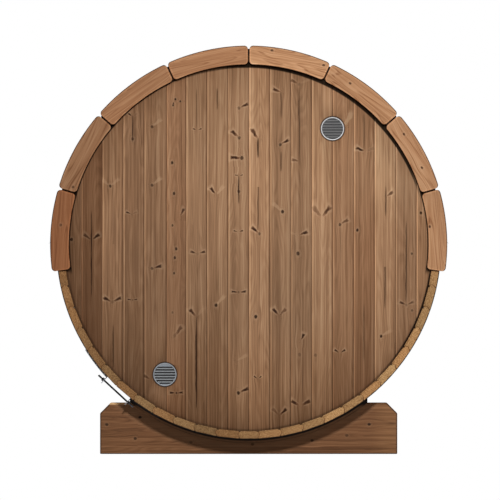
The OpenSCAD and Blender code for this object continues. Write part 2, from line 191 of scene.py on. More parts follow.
class Shader:
    """The nodes of a material or a world, with short calls for what feeds its main node."""

    def __init__(self, owner, main="Principled BSDF"):
        owner.use_nodes = True
        self.owner = owner
        self.tree = owner.node_tree
        self.main = self.tree.nodes[main]

    def feed(self, socket, value):
        if isinstance(value, Wire):
            self.tree.links.new(value.socket, socket)
        else:
            socket.default_value = value

    def set(self, **values):
        for key, value in values.items():
            self.feed(self.main.inputs[key.replace("_", " ")], value)

    def node(self, kind, inputs=None, **settings):
        """Adds a node, with its inputs by number or by name."""
        made = self.tree.nodes.new(kind)
        for key, value in settings.items():
            setattr(made, key, value)
        for key, value in (inputs or {}).items():
            self.feed(made.inputs[key], value)
        return made

    def wire(self, kind, inputs=None, output=0, **settings):
        return Wire(self, self.node(kind, inputs, **settings).outputs[output])

    def math(self, op, a, b=0.0):
        return self.wire("ShaderNodeMath", {0: a, 1: b}, operation=op)

    def most(self, value, *others):
        for other in others:
            value = self.math("MAXIMUM", value, other)
        return value

    def least(self, a, b):
        return self.math("MINIMUM", a, b)

    def length(self, a, b):
        return self.math("SQRT", a * a + b * b)

    def fade(self, value, low, high, start=1.0, end=0.0):
        """1 below low, 0 above high, smooth between."""
        inputs = {"Value": value, "From Min": low, "From Max": high, "To Min": start, "To Max": end}
        return self.wire("ShaderNodeMapRange", inputs, interpolation_type="SMOOTHSTEP")

    def rise(self, value, low, high):
        """0 below low, 1 above high, smooth between."""
        return self.fade(value, low, high, 0.0, 1.0)

    def blend(self, factor, a, b, how="MIX"):
        return self.wire("ShaderNodeMix", {0: factor, 6: a, 7: b}, 2, data_type="RGBA", blend_type=how)

    def tint(self, factor, colour, by):
        return self.blend(factor, colour, by, "MULTIPLY")

    def dim(self, colour, level):
        return self.tint(1.0, colour, self.vector(level, level, level))

    def ramp(self, factor, *stops):
        made = self.node("ShaderNodeValToRGB", {0: factor})
        points = made.color_ramp.elements
        while len(points) < len(stops):
            points.new(0.5)
        for point, (place, colour) in zip(points, stops):
            point.position = place
            point.color = colour
        return Wire(self, made.outputs[0])

    def vector(self, x, y, z):
        return self.wire("ShaderNodeCombineXYZ", {0: x, 1: y, 2: z})

    def split(self, vector):
        return [Wire(self, part) for part in self.node("ShaderNodeSeparateXYZ", {0: vector}).outputs]

    def uv(self, layer):
        return self.split(self.wire("ShaderNodeUVMap", uv_map=layer))

    def spot(self):
        """Where a point lies in the part's frame."""
        return self.wire("ShaderNodeTexCoord", output="Object")

    def traits(self, layer):
        made = self.node("ShaderNodeAttribute", attribute_name=layer)
        parts = self.node("ShaderNodeSeparateColor", {0: Wire(self, made.outputs["Color"])})
        return [Wire(self, part) for part in (*parts.outputs, made.outputs["Alpha"])]

    def noise(self, vector, scale, detail=2.0, rough=0.5):
        inputs = {"Vector": vector, "Scale": scale, "Detail": detail, "Roughness": rough}
        return self.wire("ShaderNodeTexNoise", inputs, noise_dimensions="3D")

    def field(self, x, y, z, detail=2.0, rough=0.5):
        """Noise over coordinates that carry their own scales."""
        return self.noise(self.vector(x, y, z), 1.0, detail, rough)

    def seen(self):
        """1 for what the camera sees, also in a mirror or through glass, 0 for light that bounces."""
        path = self.node("ShaderNodeLightPath").outputs
        kinds = ("Camera", "Glossy", "Transmission")
        return self.most(*(Wire(self, path["Is %s Ray" % kind]) for kind in kinds))

    def bump(self, height, strength, distance):
        inputs = {"Height": height, "Strength": strength, "Distance": distance}
        self.set(Normal=self.wire("ShaderNodeBump", inputs))


def new_shader(name):
    return Shader(bpy.data.materials.new(name))


# Knot brown, also the colour of painted shadow
KNOT_AND_SHADE = srgb(44, 24, 14)
PAINTED_HIGHLIGHT = (1.66, 1.70, 1.74, 1.0)


def wall_painted_light(s, colour, _knots):
    """Painted shade below, a painted highlight at the upper right, and painted shadow at the staves, under
    the trim and round the vents.
    """
    x, _, z = s.split(s.spot())
    up = z - AXIS
    # Painted shade: darker below, and a little more so away from the right
    painted_shade_below = s.fade(up, -0.38, 0.38) * (s.fade(x, 0.38, 0.55) * 0.08 + 0.12)
    colour = s.dim(colour, 1.0 - painted_shade_below)
    # Painted shade: a little darker at the bottom middle
    foot = s.fade(up, -0.70, -0.35) * s.fade(abs(x), 0.40, 0.60)
    colour = s.tint(foot, colour, (0.93, 0.89, 0.85, 1.0))
    # A painted pool of light at the upper right
    painted_light_upper_right = s.rise(x, 0.45, 0.68) * s.rise(up, 0.05, 0.40)
    colour = s.tint(painted_light_upper_right, colour, (1.14, 1.22, 1.27, 1.0))
    # Painted shade along the staves, thin on the left and at the bottom
    corner = s.rise(s.length(x, up), R_IN - 0.012, R_IN - 0.004)
    corner = corner * (1.0 - s.fade(up, -0.78, -0.45) * 0.65) * (1.0 - s.fade(x, -0.5, 0.1) * 0.55)
    # Painted shadow under the trim, widest at the upper right
    lifted = up - TRIM_LIFT
    under = s.rise(s.length(x, lifted), TRIM_RI - 0.0085, TRIM_RI - 0.0035) * s.rise(up, -0.15, -0.11)
    wide = s.rise(s.length(x + 0.0098, lifted + 0.0184), TRIM_RI - 0.003, TRIM_RI + 0.003)
    wide = wide * s.rise(x, -0.5, 0.0) * s.rise(up, 0.20, 0.42)
    colour = s.blend(s.most(corner, under, wide) * 0.95, colour, srgb(8, 6, 4))
    # Painted shadow round each vent
    for vent_x, vent_z in (vent_place("upper_vent"), vent_place("lower_vent")):
        painted_shadow_ring = s.fade(s.length(x - vent_x, z - vent_z), VENT_R + 0.001, VENT_R + 0.007)
        colour = s.blend(painted_shadow_ring * 0.75, colour, KNOT_AND_SHADE)
    return colour


def cradle_painted_light_and_rim(s, colour, knots):
    """Painted light: a pale fill that lifts the shade in the saddle, a paler right end and a highlight on
    the top at the left; also a dark rim.
    """
    x, _, z = s.split(s.spot())
    below = z - CRADLE_TOP
    # Painted light: a pale colour lifts the shade in the saddle, but not on the knots
    dust = s.fade(s.length(x + 0.015, z - AXIS), R_OUT + 0.035, R_OUT + 0.090) * (1.0 - knots)
    colour = s.blend(dust * 0.50, colour, srgb(158, 124, 94))
    # Painted light: the right end is painted paler
    colour = s.tint(s.rise(x, 0.62, 0.73), colour, (1.22, 1.28, 1.26, 1.0))
    end = abs(x) - CRADLE_HALF
    slant = (end + below + CRADLE_CHAMFER) * 0.7071
    rim = s.rise(s.most(end, slant), -0.0085, -0.0045)
    ledge = s.rise(below, -0.007, -0.004) * s.rise(x, 0.2, 0.3)
    colour = s.blend(s.most(rim, ledge) * 0.62, colour, srgb(64, 36, 16))
    # A painted highlight along the top at the left
    wear_and_painted_highlight = s.rise(below, -0.013, -0.009) * s.fade(x, -0.63, -0.58)
    return s.blend(wear_and_painted_highlight * 0.95, colour, srgb(222, 182, 134))


def timber(name, dark, middle, light, knot=KNOT_AND_SHADE, contrast=1.0, flame=0.025, veins=0.12, painted_light=None):
    """Planed softwood. Grain runs along the plank, and each plank carries its own tone, knots and pith."""
    s = new_shader(name)
    across, along, _ = s.uv("grain")
    near_x, near_y, _ = s.uv("knot")
    pith_x, pith_t, _ = s.uv("pith")
    tone, seed, warm, edge = s.traits("traits")
    left, right, dot, rise = s.traits("whorl")
    shade = seed * 40.0

    # A whorl: two arms that rise from the pith to both sides, and a dot knot in the middle
    on_right = s.math("GREATER_THAN", near_x, 0.0)
    force = on_right * right + (1.0 - on_right) * left
    out = abs(near_x)
    cosine = s.math("COSINE", rise)
    sine = s.math("SINE", rise)
    place = s.vector(near_x + left * 0.3, near_y, shade)
    wave = s.noise(place, 70.0)
    swirl = s.noise(s.vector(near_y, near_x, shade + 5.0), 45.0)
    reach = out * cosine + near_y * sine + (swirl - 0.5) * 0.020
    off = near_y * cosine - out * sine + (wave - 0.5) * 0.009
    spread = abs(off) / (s.most(reach, 0.0) * 0.13 + 0.0026)
    start = s.rise(reach, 0.006, 0.016)
    dark_arm = s.fade(spread, 0.75, 1.25) * start * s.fade(reach, 0.044, 0.056)
    dark_arm = dark_arm * s.least(s.most(force, 0.0) * 1.35, 1.0)
    pale_only = s.fade(force, -0.1, 0.1)
    pale_arm = s.fade(spread * (pale_only + 1.0), 1.2, 2.6) * start * s.fade(reach, 0.050, 0.070)
    pale_arm = pale_arm * s.least(abs(force), 1.0)
    core = s.rise(reach, 0.016, 0.028) * s.fade(reach, 0.042, 0.054)
    core = core * s.fade(spread, 0.35, 1.05) * s.rise(force, 0.35, 0.9)
    ball = s.length(near_x + (wave - 0.5) * 0.006, near_y * 0.8)
    dark_dot = s.fade(ball, 0.0048, 0.0088) * dot
    pale_dot = s.fade(ball, 0.008, 0.019) * dot

    # Grain lines that bend round the whorl
    any_knot = s.most(abs(left), abs(right), dot)
    away = near_x * near_x * 900.0 + near_y * near_y * 420.0
    push = s.math("POWER", 2.718, away * -1.0) * any_knot
    lane = across - near_x * 0.45 * push
    lift = along - out * 0.9 * push
    lane = lane + (s.field(across * 5.0, lift * 1.1, shade) - 0.5) * 0.008
    broad = s.field(lane * 40.0, lift * 0.4, shade)
    streak = s.field(lane * 130.0, lift, shade + 3.0, 3.0, 0.6)
    fine = s.field(lane * 270.0, lift * 2.6, shade, 3.0, 0.6)
    flow = s.field(lane * 14.0, lift * 1.2, shade + 7.0, 1.0)
    fibre = s.field(across * 900.0, along * 14.0, shade)
    grain = broad * 0.24 + streak * 0.44 + fine * 0.24
    grain = grain + s.math("SINE", flow * 95.0) * flame + (fibre - 0.5) * 0.14
    colour = s.ramp((grain - 0.46) * (2.2 * contrast) + 0.5, (0.05, dark), (0.5, middle), (0.95, light))
    vein = abs(s.math("FRACT", flow * 13.0) - 0.5)
    vein = s.fade(vein, 0.02, 0.13) * s.fade(streak, 0.35, 0.7) * veins
    colour = s.blend(vein, colour, dark)

    # Planks lean a little to red or to grey, and clouds of tone drift along them
    colour = s.tint(warm, colour, srgb(255, 214, 186))
    cloud = s.field(across * 9.0, along * 2.6, shade, 3.0)
    colour = s.dim(colour, tone * (cloud * 0.32 + 0.84))
    pale = s.least(pale_arm * 0.55 + pale_dot * 0.22, 1.0)
    colour = s.blend(pale, colour, s.dim(light, tone))
    heart = s.least(dark_arm * (wave * 0.85 + 0.45), 0.92)
    colour = s.blend(heart, colour, s.dim(srgb(112, 73, 49), tone))
    colour = s.blend(s.least(core * (swirl * 1.2 + 0.35), 0.94), colour, knot)
    crumb = s.rise(s.noise(place, 330.0, 1.0), 0.60, 0.70) * s.fade(ball, 0.010, 0.034) * any_knot * 0.5
    brown = s.least(dark_dot * (wave * 0.7 + 0.6) + crumb, 0.96)
    colour = s.blend(brown, colour, knot)

    # The pith: a thin dark check along the plank, with a soft brown streak beside it
    strong = s.wire("ShaderNodeAttribute", output="Fac", attribute_name="pith_force")
    sure = s.least(strong, 1.0)
    bend = s.field(along * 14.0, shade, 0.0, 3.0)
    from_pith = abs(pith_x + (bend - 0.5) * 0.006)
    from_middle = abs(pith_t)
    open_w = (1.05 - from_middle ** 4.0) * (bend * 0.0046 * strong + 0.0006)
    stain = s.fade(from_pith, 0.002, 0.011) * s.fade(from_middle, 0.5, 1.25)
    colour = s.blend(stain * 0.45 * sure, colour, dark)
    check = s.fade(from_pith / s.most(open_w, 0.0001), 0.5, 1.0) * s.fade(from_middle, 0.86, 1.0) * sure
    colour = s.blend(check * 0.93, colour, knot)

    # Painted highlight on arrises marked pale, and painted shade on those marked dark
    colour = s.tint(s.most(edge, 0.0), colour, PAINTED_HIGHLIGHT)
    colour = s.blend(s.most(edge * -1.0, 0.0), colour, knot)
    # Painted light and marks that a timber adds over its colour
    if painted_light:
        colour = painted_light(s, colour, brown)
    s.set(Base_Color=colour, Roughness=fine * 0.22 + 0.56, Specular_IOR_Level=0.1)
    s.bump(fine * 0.6 + fibre * 0.4 - (check * 2.5 + brown * 0.4), 0.30, 0.0014)
    return s.owner


def end_grain(name, pale, deep, behind_trim=None):
    """Sawn ends: growth rings around a pith that lies outside the plank. Above behind_trim they carry a
    painted shadow.
    """
    s = new_shader(name)
    across, depth, _ = s.uv("grain")
    tone, seed, warm, _ = s.traits("traits")
    shade = seed * 40.0
    x = across + (s.math("FRACT", seed * 7.3) - 0.5) * 0.12
    y = depth + (s.math("FRACT", seed * 3.1) * 0.08 + 0.05)
    wobble = s.field(across * 60.0, depth * 60.0, shade)
    rings = s.math("SINE", s.length(x, y) * 950.0 + wobble * 5.0)
    pores = s.field(across * 150.0, depth * 150.0, shade, 4.0, 0.7)
    factor = rings * 0.22 + (pores - 0.5) * 2.3 + wobble * 0.35 + 0.3
    colour = s.ramp(factor, (0.2, deep), (0.85, pale))
    colour = s.dim(s.tint(warm * 0.8, colour, srgb(255, 205, 165)), tone)
    if behind_trim:
        # Painted shadow: the ends between the trim boards are painted near black, and painted shade darkens
        # the notches at the joints
        height = s.split(s.spot())[2]
        colour = s.blend(s.rise(height, behind_trim - 0.005, behind_trim) * 0.95, colour, KNOT_AND_SHADE)
        out = abs(across)
        inner = s.length(out - R_IN * STAVE_W / 2 / R_OUT, abs(depth) - STAVE_T)
        outer = s.length(out - STAVE_W / 2, depth)
        notch = s.most(s.fade(inner, 0.005, 0.009), s.fade(outer, 0.004, 0.007))
        colour = s.blend(notch * 0.9, colour, srgb(20, 12, 8))
    s.set(Base_Color=colour, Roughness=0.78, Specular_IOR_Level=0.1)
    s.bump(rings * 0.3 + pores, 0.3, 0.001)
    return s.owner


def metal(name, colour, rough, metallic, streak=0.08):
    """Satin metal with fine brushing and a little uneven gloss."""
    s = new_shader(name)
    place = s.spot()
    x, y, z = s.split(place)
    brushed = s.field(x * 30.0, y * 30.0, z * 900.0)
    patch = s.noise(place, 18.0, 3.0)
    level = (brushed + patch) * streak + (1.0 - streak)
    s.set(Base_Color=s.dim(colour, level), Metallic=metallic, Roughness=patch * 0.16 + (rough - 0.08))
    s.bump(brushed, 0.06, 0.0005)
    return s.owner


def black_coat(name, colour, wear_and_painted_highlight, rough):
    """Matt coated steel, a little lighter where it is rubbed."""
    s = new_shader(name)
    place = s.spot()
    speck = s.noise(place, 420.0)
    patch = s.noise(place, 9.0, 4.0)
    s.set(Base_Color=s.ramp(patch * 0.8 + speck * 0.2, (0.35, colour), (0.85, wear_and_painted_highlight)))
    s.set(Roughness=speck * 0.15 + rough, Specular_IOR_Level=0.25)
    s.bump(speck, 0.1, 0.0005)
    return s.owner


def felt_cover(name):
    """Mineral felt: dark bitumen under slate granules, with tone that varies from sheet to sheet."""
    s = new_shader(name)
    across, along, _ = s.uv("grain")
    tone, seed, _, edge = s.traits("traits")
    cell = s.node("ShaderNodeTexVoronoi", {"Vector": s.spot(), "Scale": 340.0}, feature="F1").outputs
    grit = s.split(Wire(s, cell["Color"]))[0]
    patch = s.field(across * 6.0, along * 1.5, seed * 30.0, 4.0)
    colour = s.ramp(grit, (0.0, srgb(24, 24, 26)), (0.6, srgb(50, 51, 54)), (1.0, srgb(98, 99, 102)))
    colour = s.dim(colour, tone * (patch * 0.6 + 0.7))
    colour = s.blend(s.most(edge, 0.0), colour, srgb(14, 14, 15))
    s.set(Base_Color=colour, Roughness=grit * 0.12 + 0.86, Specular_IOR_Level=0.12)
    s.bump(1.0 - Wire(s, cell["Distance"]), 0.55, 0.002)
    return s.owner


def rubber(name):
    """Matt black rubber with a faint bloom. Brown dust from the cradle covers most of its faces."""
    s = new_shader(name)
    place = s.spot()
    x, _, z = s.split(place)
    bloom = s.noise(place, 35.0, 4.0)
    colour = s.ramp(bloom, (0.3, srgb(16, 13, 11)), (0.8, srgb(34, 27, 23)))
    face = abs(s.split(s.wire("ShaderNodeNewGeometry", output="Normal"))[1])
    dust = s.rise(s.length(x, z - AXIS), R_OUT + 0.007, R_OUT + 0.014) * s.rise(face, 0.5, 0.8)
    dust = dust * s.fade(z, CRADLE_TOP - 0.030, CRADLE_TOP - 0.005)
    colour = s.blend(dust * (bloom * 0.3 + 0.75), colour, srgb(134, 100, 72))
    s.set(Base_Color=colour, Roughness=bloom * 0.2 + 0.66, Specular_IOR_Level=0.15)
    s.bump(s.noise(place, 500.0), 0.15, 0.0006)
    return s.owner


WALL_WOOD = timber("wall_wood", srgb(106, 75, 52), srgb(157, 119, 88), srgb(194, 158, 124),
                   veins=0.22, painted_light=wall_painted_light)
TRIM_WOOD = timber("trim_wood", srgb(138, 92, 60), srgb(181, 135, 98), srgb(208, 166, 129),
                   srgb(58, 32, 18), 0.85, 0.04, 0.9)
STAVE_WOOD = timber("stave_wood", srgb(114, 78, 50), srgb(160, 118, 80), srgb(200, 160, 118))
CRADLE_WOOD = timber("cradle_wood", srgb(84, 57, 38), srgb(130, 94, 65), srgb(166, 126, 92),
                     srgb(30, 18, 11), 1.0, 0.03, 0.4, cradle_painted_light_and_rim)
STAVE_END = end_grain("stave_end_grain", srgb(200, 162, 114), srgb(142, 106, 68), AXIS + TRIM_DARK_FROM)
BOARD_END = end_grain("board_end_grain", srgb(178, 138, 100), srgb(126, 90, 62))
ALUMINIUM = metal("vent_aluminium", srgb(206, 208, 212), 0.5, 0.3)
GREY_METAL = metal("vent_grey", srgb(132, 135, 139), 0.55, 0.3)
ZINC = metal("vent_zinc", srgb(148, 153, 160), 0.55, 0.3)
PLATE = metal("vent_plate", srgb(104, 110, 118), 0.55, 0.3)
DARK_METAL = metal("vent_dark", srgb(122, 122, 123), 0.6, 0.2)
SCREEN = metal("vent_screen", srgb(56, 57, 59), 0.7, 0.1)
# Near black disc behind the lower vent's slats: painted shade
PAINTED_SHADE_DISC = metal("vent_painted_shade_disc", srgb(16, 16, 17), 0.8, 0.0)
EAR_STEEL = metal("ear_steel", srgb(98, 100, 106), 0.5, 0.5, 0.12)
BLACK_STEEL = black_coat("black_steel", srgb(12, 12, 13), srgb(30, 30, 32), 0.55)
ROD_STEEL = black_coat("rod_steel", srgb(14, 14, 15), srgb(34, 35, 37), 0.45)
FELT = felt_cover("bitumen_felt")
RUBBER = rubber("pad_rubber")


# Meshes

# Edges that bend less than this many radians are shaded smooth
PLANK_SMOOTH = 0.7
METAL_SMOOTH = 0.6


def loft(mesh, rows, caps=True):
    """Skins rows of points, each a loop. Without caps the last row joins the first."""
    loops = [[mesh.verts.new(p) for p in row] for row in rows]
    count = len(rows[0])
    made = []
    for low, high in zip(loops, loops[1:] if caps else loops[1:] + loops[:1]):
        for i in range(count):
            j = (i + 1) % count
            made.append(mesh.faces.new((low[i], low[j], high[j], high[i])))
    if caps:
        made += [mesh.faces.new(loops[0]), mesh.faces.new(loops[-1])]
    return made


def write_piece(name, mesh, materials, node, smooth):
    """Turns a mesh into a piece that stands for a CAD node, with edges sharper than smooth left hard."""
    for edge in mesh.edges:
        edge.smooth = len(edge.link_faces) == 2 and edge.calc_face_angle(0.0) < smooth
    for face in mesh.faces:
        face.smooth = True
    data = bpy.data.meshes.new(name)
    mesh.to_mesh(data)
    mesh.free()
    for material in materials:
        data.materials.append(material)
    piece = bpy.data.objects.new(name, data)
    bpy.context.collection.objects.link(piece)
    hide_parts(node)
    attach(piece, "root")
    return piece


# Planks: one closed mesh each, cut between its knots, with its own grain and knot coordinates

# A whorl and a pith far off, for planks without one
NO_WHORL = (9.0, 9.0, 0.0, 0.0, 0.0, 30, 1.0)
NO_PITH = (9.0, 9.0, 9.1, 0.0)


class Plank:
    """Axes of one plank and what grows in it.

    Whorls are (across, along, left, right, dot, rise in degrees, size), piths (across, low, high, strength).
    """

    def __init__(self, origin, across, along, whorls=(), piths=(), tone=1.0, warm=0.0, end_tone=None):
        self.origin = Vector(origin)
        self.across = Vector(across).normalized()
        self.along = Vector(along).normalized()
        self.depth = self.across.cross(self.along)
        self.whorls = sorted(whorls, key=lambda w: w[1])
        self.piths = piths
        self.tone = tone
        self.warm = warm
        self.seed = dice.random()
        self.end_tone = end_tone or tone
        self.mesh = bmesh.new()

    def local(self, point):
        p = Vector(point) - self.origin
        return p.dot(self.across), p.dot(self.along), p.dot(self.depth)

    def is_end(self, face):
        return abs(face.normal.dot(self.along)) > 0.8

    def cut(self):
        """Cuts the mesh half way between neighbouring whorls, and gives the heights of the cuts."""
        heights = [w[1] for w in self.whorls]
        cuts = [(a + b) / 2 for a, b in zip(heights, heights[1:])]
        for height in cuts:
            everything = self.mesh.verts[:] + self.mesh.edges[:] + self.mesh.faces[:]
            bmesh.ops.bisect_plane(self.mesh, geom=everything, plane_co=self.origin + self.along * height,
                                   plane_no=self.along, dist=0.000001)
        return cuts

    def skin(self, rows):
        loft(self.mesh, rows)
        return self.tidy()

    def ease(self, edges, width):
        bmesh.ops.bevel(self.mesh, geom=edges, offset=width, segments=2, affect="EDGES", profile=0.5)

    def tidy(self, weld=0.00002):
        bmesh.ops.remove_doubles(self.mesh, verts=self.mesh.verts, dist=weld)
        bmesh.ops.dissolve_degenerate(self.mesh, edges=self.mesh.edges, dist=weld)
        bmesh.ops.recalc_face_normals(self.mesh, faces=self.mesh.faces)
        return self


def write_planks(name, planks, materials, node, edge_rule=None):
    """Joins planks into one piece that stands for a CAD node, with its grain, knot and pith layers."""
    whole = bmesh.new()
    grain = whole.loops.layers.uv.new("grain")
    knot = whole.loops.layers.uv.new("knot")
    pith = whole.loops.layers.uv.new("pith")
    traits = whole.loops.layers.float_color.new("traits")
    whorl = whole.loops.layers.float_color.new("whorl")
    force = whole.faces.layers.float.new("pith_force")
    for plank in planks:
        cuts = plank.cut()
        shift = plank.seed * 3.0
        copies = {v: whole.verts.new(v.co) for v in plank.mesh.verts}
        for face in plank.mesh.faces:
            made = whole.faces.new([copies[v] for v in face.verts])
            middle = plank.local(face.calc_center_median())
            step = sum(1 for c in cuts if middle[1] > c)
            here = plank.whorls[step] if plank.whorls else NO_WHORL
            kx, ky, left, right, dot, rise, size = here
            # The pith whose middle lies nearest to this stretch of the plank
            px, low, high, made[force] = min(plank.piths, default=NO_PITH,
                                             key=lambda p: abs(p[1] + p[2] - 2 * middle[1]))
            is_end = plank.is_end(face) and len(materials) > 1
            made.material_index = 1 if is_end else 0
            edge = edge_rule(plank, face) if edge_rule else 0.0
            for loop in made.loops:
                a, u, d = plank.local(loop.vert.co)
                loop[grain].uv = (a, d) if is_end else (a + 0.9 * d + shift, u + shift)
                loop[knot].uv = ((a - kx) / size, (u - ky) / size)
                loop[pith].uv = (a - px, (u - (low + high) / 2) / ((high - low) / 2))
                loop[traits] = (plank.end_tone if is_end else plank.tone, plank.seed, plank.warm, edge)
                loop[whorl] = (left, right, dot, math.radians(rise))
        plank.mesh.free()
    return write_piece(name, whole, materials, node, PLANK_SMOOTH)


def chance_whorls(low, high, spacing, width, strength=1.0):
    """Knots for a plank that the photo doesn't show, at uneven steps along it."""
    found = []
    place = low + dice.uniform(0.2, 1.0) * spacing
    while place < high - 0.05:
        kind = dice.random()
        rise = dice.uniform(18, 52)
        if kind < 0.45:
            arms = (dice.uniform(0.4, 1.0), dice.uniform(-0.6, 1.0), 0.0)
        elif kind < 0.6:
            arms = (dice.uniform(-0.8, 0.2), dice.uniform(0.3, 1.0), 0.0)
        else:
            arms = (0.0, 0.0, dice.uniform(0.6, 1.0))
        side = dice.uniform(-0.3, 0.3) * width if arms[2] else dice.uniform(-0.06, 0.06) * width
        size = dice.choice((0.5, 0.8, 1.0))
        found.append((side, place, *(arm * strength for arm in arms), rise, size))
        place += spacing * dice.uniform(0.55, 1.7)
    return found


def arms(height, shift, left, right, rise, size=1.0, heart=0.0):
    """A knot with arms: above 0 they are dark, below 0 pale. Its heart is a dot between them."""
    return (shift, height, left, right, heart, rise, size)


def dot(height, shift, strength=1.0, size=1.0):
    """A round knot."""
    return arms(height, shift, 0.0, 0.0, 30, size, strength)


# Wall boards

# What the photo shows on the back wall. Board 0 lies right of the middle line.
# Heights are metres over the axis.
BACK_KNOTS = {
    -9: [dot(0.039, 0.005, 0.9)],
    -8: [arms(0.036, 0.0, 0.65, 1.0, 36)],
    -7: [arms(0.316, -0.012, -0.6, -0.6, 40, 1.0, 0.9), arms(-0.286, 0.0, 1.0, 0.9, 26, 1.0, 0.3)],
    -6: [arms(0.676, -0.004, 0.9, 0.3, 40, 0.6), dot(0.562, -0.004),
         arms(0.170, -0.010, 0.9, 0.4, 24, 0.6, 0.2), arms(-0.276, -0.006, 0.8, 0.7, 8, 0.5, 0.6)],
    -5: [arms(0.625, -0.012, 0.0, -1.0, 40, 1.0, 0.7), arms(0.321, -0.012, 0.0, -1.0, 40, 1.0, 0.7),
         arms(-0.112, -0.012, 0.0, 0.85, 16, 1.0, 0.6), arms(-0.690, -0.016, 0.6, 0.0, 28)],
    -4: [dot(0.768, 0.0, 1.0, 0.8), dot(0.757, 0.026, 0.9, 0.8), dot(0.747, -0.010, 0.8, 0.7),
         dot(0.737, -0.012, 1.0, 0.7), dot(0.438, -0.017), dot(0.278, -0.007),
         arms(0.160, 0.024, 0.0, 0.75, 62, 0.9), dot(0.112, -0.015, 0.8, 0.8), dot(-0.010, 0.004),
         dot(-0.056, -0.003), dot(-0.137, -0.007, 0.9, 0.8), dot(-0.341, -0.015, 0.5, 0.8),
         arms(-0.462, -0.004, 0.0, 0.6, 52, 1.2, 0.3), arms(-0.760, 0.005, 1.0, 0.8, 4, 0.7, 0.8)],
    -3: [arms(0.606, 0.005, 0.7, 0.7, 24, 0.5), arms(-0.036, 0.008, 0.7, 0.8, 18, 0.8, 0.2),
         arms(-0.367, 0.0, 0.75, -0.4, 52, 1.1)],
    -2: [arms(0.269, -0.005, 1.0, -0.9, 52), arms(-0.303, -0.006, 0.0, -1.0, 48, 1.1, 1.0)],
    -1: [arms(0.722, 0.004, 0.0, 0.8, 26, 1.0, 0.6), arms(0.567, 0.006, 0.85, 0.0, 42, 1.1, 0.6),
         arms(0.463, 0.019, 0.9, 0.0, 3, 1.2, 0.9), arms(0.371, 0.003, 0.9, 0.9, 10, 0.4), dot(0.288, 0.003),
         arms(0.078, 0.0, 1.0, 0.9, 16, 0.5), arms(-0.235, 0.002, 0.9, 0.9, 5, 0.75, 0.5),
         arms(-0.595, -0.012, 0.0, -0.9, 30, 1.1, 0.1), arms(-0.760, 0.001, 0.0, 1.0, 26, 1.1, 1.0)],
    0: [arms(0.556, -0.005, 0.75, 0.0, 60, 1.3), arms(0.068, 0.001, 0.9, 0.0, 42, 1.0, 0.7),
        dot(-0.363, -0.018, 1.0, 1.2), arms(-0.688, -0.007, 1.0, 1.0, 40, 0.5)],
    1: [arms(0.803, 0.010, 0.9, 0.0, 22), arms(0.532, 0.001, 0.0, 0.9, 30, 1.0, 0.8),
        arms(0.183, 0.013, -0.8, 0.0, 42, 1.1, 1.0), arms(-0.360, -0.004, 1.0, 0.55, 50),
        arms(-0.877, -0.004, 0.5, 1.0, 44)],
    2: [arms(0.846, -0.010, 0.6, -0.5, 28, 1.0, 0.3), arms(0.445, -0.003, 0.6, 0.0, 12, 0.9),
        arms(0.062, -0.016, -0.4, 1.0, 18), dot(-0.034, -0.016, 0.9, 1.3),
        arms(-0.492, -0.003, 0.0, 1.0, 66, 0.9), dot(-0.560, -0.008, 0.4, 1.2),
        arms(-0.828, -0.003, 0.8, 0.75, 30, 1.1)],
    3: [arms(0.152, -0.002, 0.5, 0.7, 52, 1.4), dot(-0.563, -0.034, 0.4)],
    4: [arms(0.619, 0.0, 0.0, -1.0, 60, 1.6), arms(0.116, -0.016, 0.0, 0.6, 32, 1.0, 0.8),
        arms(-0.552, -0.016, 1.0, 1.0, 32, 0.65)],
    5: [arms(0.497, 0.007, 1.0, 0.3, 22), dot(0.088, -0.034)],
    6: [arms(0.258, 0.004, 0.0, 0.65, 38), arms(-0.464, -0.020, 0.0, -0.7, 30, 1.0, 1.0)],
    7: [dot(0.640, 0.01, 0.4), dot(-0.035, 0.031, 0.8, 0.8), arms(-0.302, 0.003, 0.7, 0.6, 24, 0.8, 0.4),
        dot(-0.330, 0.032, 0.7, 0.8)],
    8: [dot(0.177, -0.030, 0.9)],
}
# The piths or cracks of a board: shift across, lower and upper end over the axis, and how open it is
BACK_PITH = {
    -8: [(0.0, -0.27, 0.20, 1.2)],
    -6: [(-0.004, 0.54, 0.69, 1.3)],
    -3: [(0.002, 0.61, 0.83, 0.6), (0.0, -0.86, -0.345, 1.6)],
    -2: [(0.0, 0.71, 0.83, 0.8)],
    -1: [(0.003, 0.22, 0.375, 1.0)],
    0: [(-0.006, 0.46, 0.57, 1.5), (-0.005, 0.08, 0.39, 0.8)],
    1: [(0.005, 0.67, 0.81, 0.8), (0.005, 0.39, 0.50, 0.9)],
    2: [(-0.010, 0.45, 0.83, 0.9)],
    4: [(-0.012, -0.10, 0.12, 0.4)],
    5: [(0.0, 0.50, 0.70, 0.9), (0.0, -0.60, -0.29, 0.7)],
    6: [(0.004, 0.155, 0.32, 0.9), (0.001, -0.33, -0.03, 0.9)],
    7: [(0.002, -0.31, 0.15, 1.0)],
}
# Boards whose pith is left to chance, and a crack that one of them has besides
CHANCE_PITH = (-7, -5, -4)
BACK_CRACK = {-7: [(0.003, -0.64, -0.40, 0.9)]}
# Board tones: each board's own tone, with painted shade that makes the boards on the left darker
BACK_TONE = {-9: 0.83, -8: 0.70, -7: 0.89, -6: 0.77, -5: 0.77, -4: 0.86, -3: 0.95, -2: 1.00, -1: 0.96,
             0: 1.22, 1: 0.97, 2: 0.91, 3: 1.13, 4: 0.94, 5: 0.91, 6: 1.19, 7: 0.84, 8: 1.36}
BACK_WARM = {-9: 0.15, -8: 0.35, -7: 0.1, -6: 0.1, -5: 0.1, -4: 0.2, 4: 0.15, 5: 0.25, 7: 0.1}
# The one joint that lies well off its place, as its shift to the right
JOINT_SHIFT = {-4: 0.008}
# A limit past every board's end
FULL = 2.0


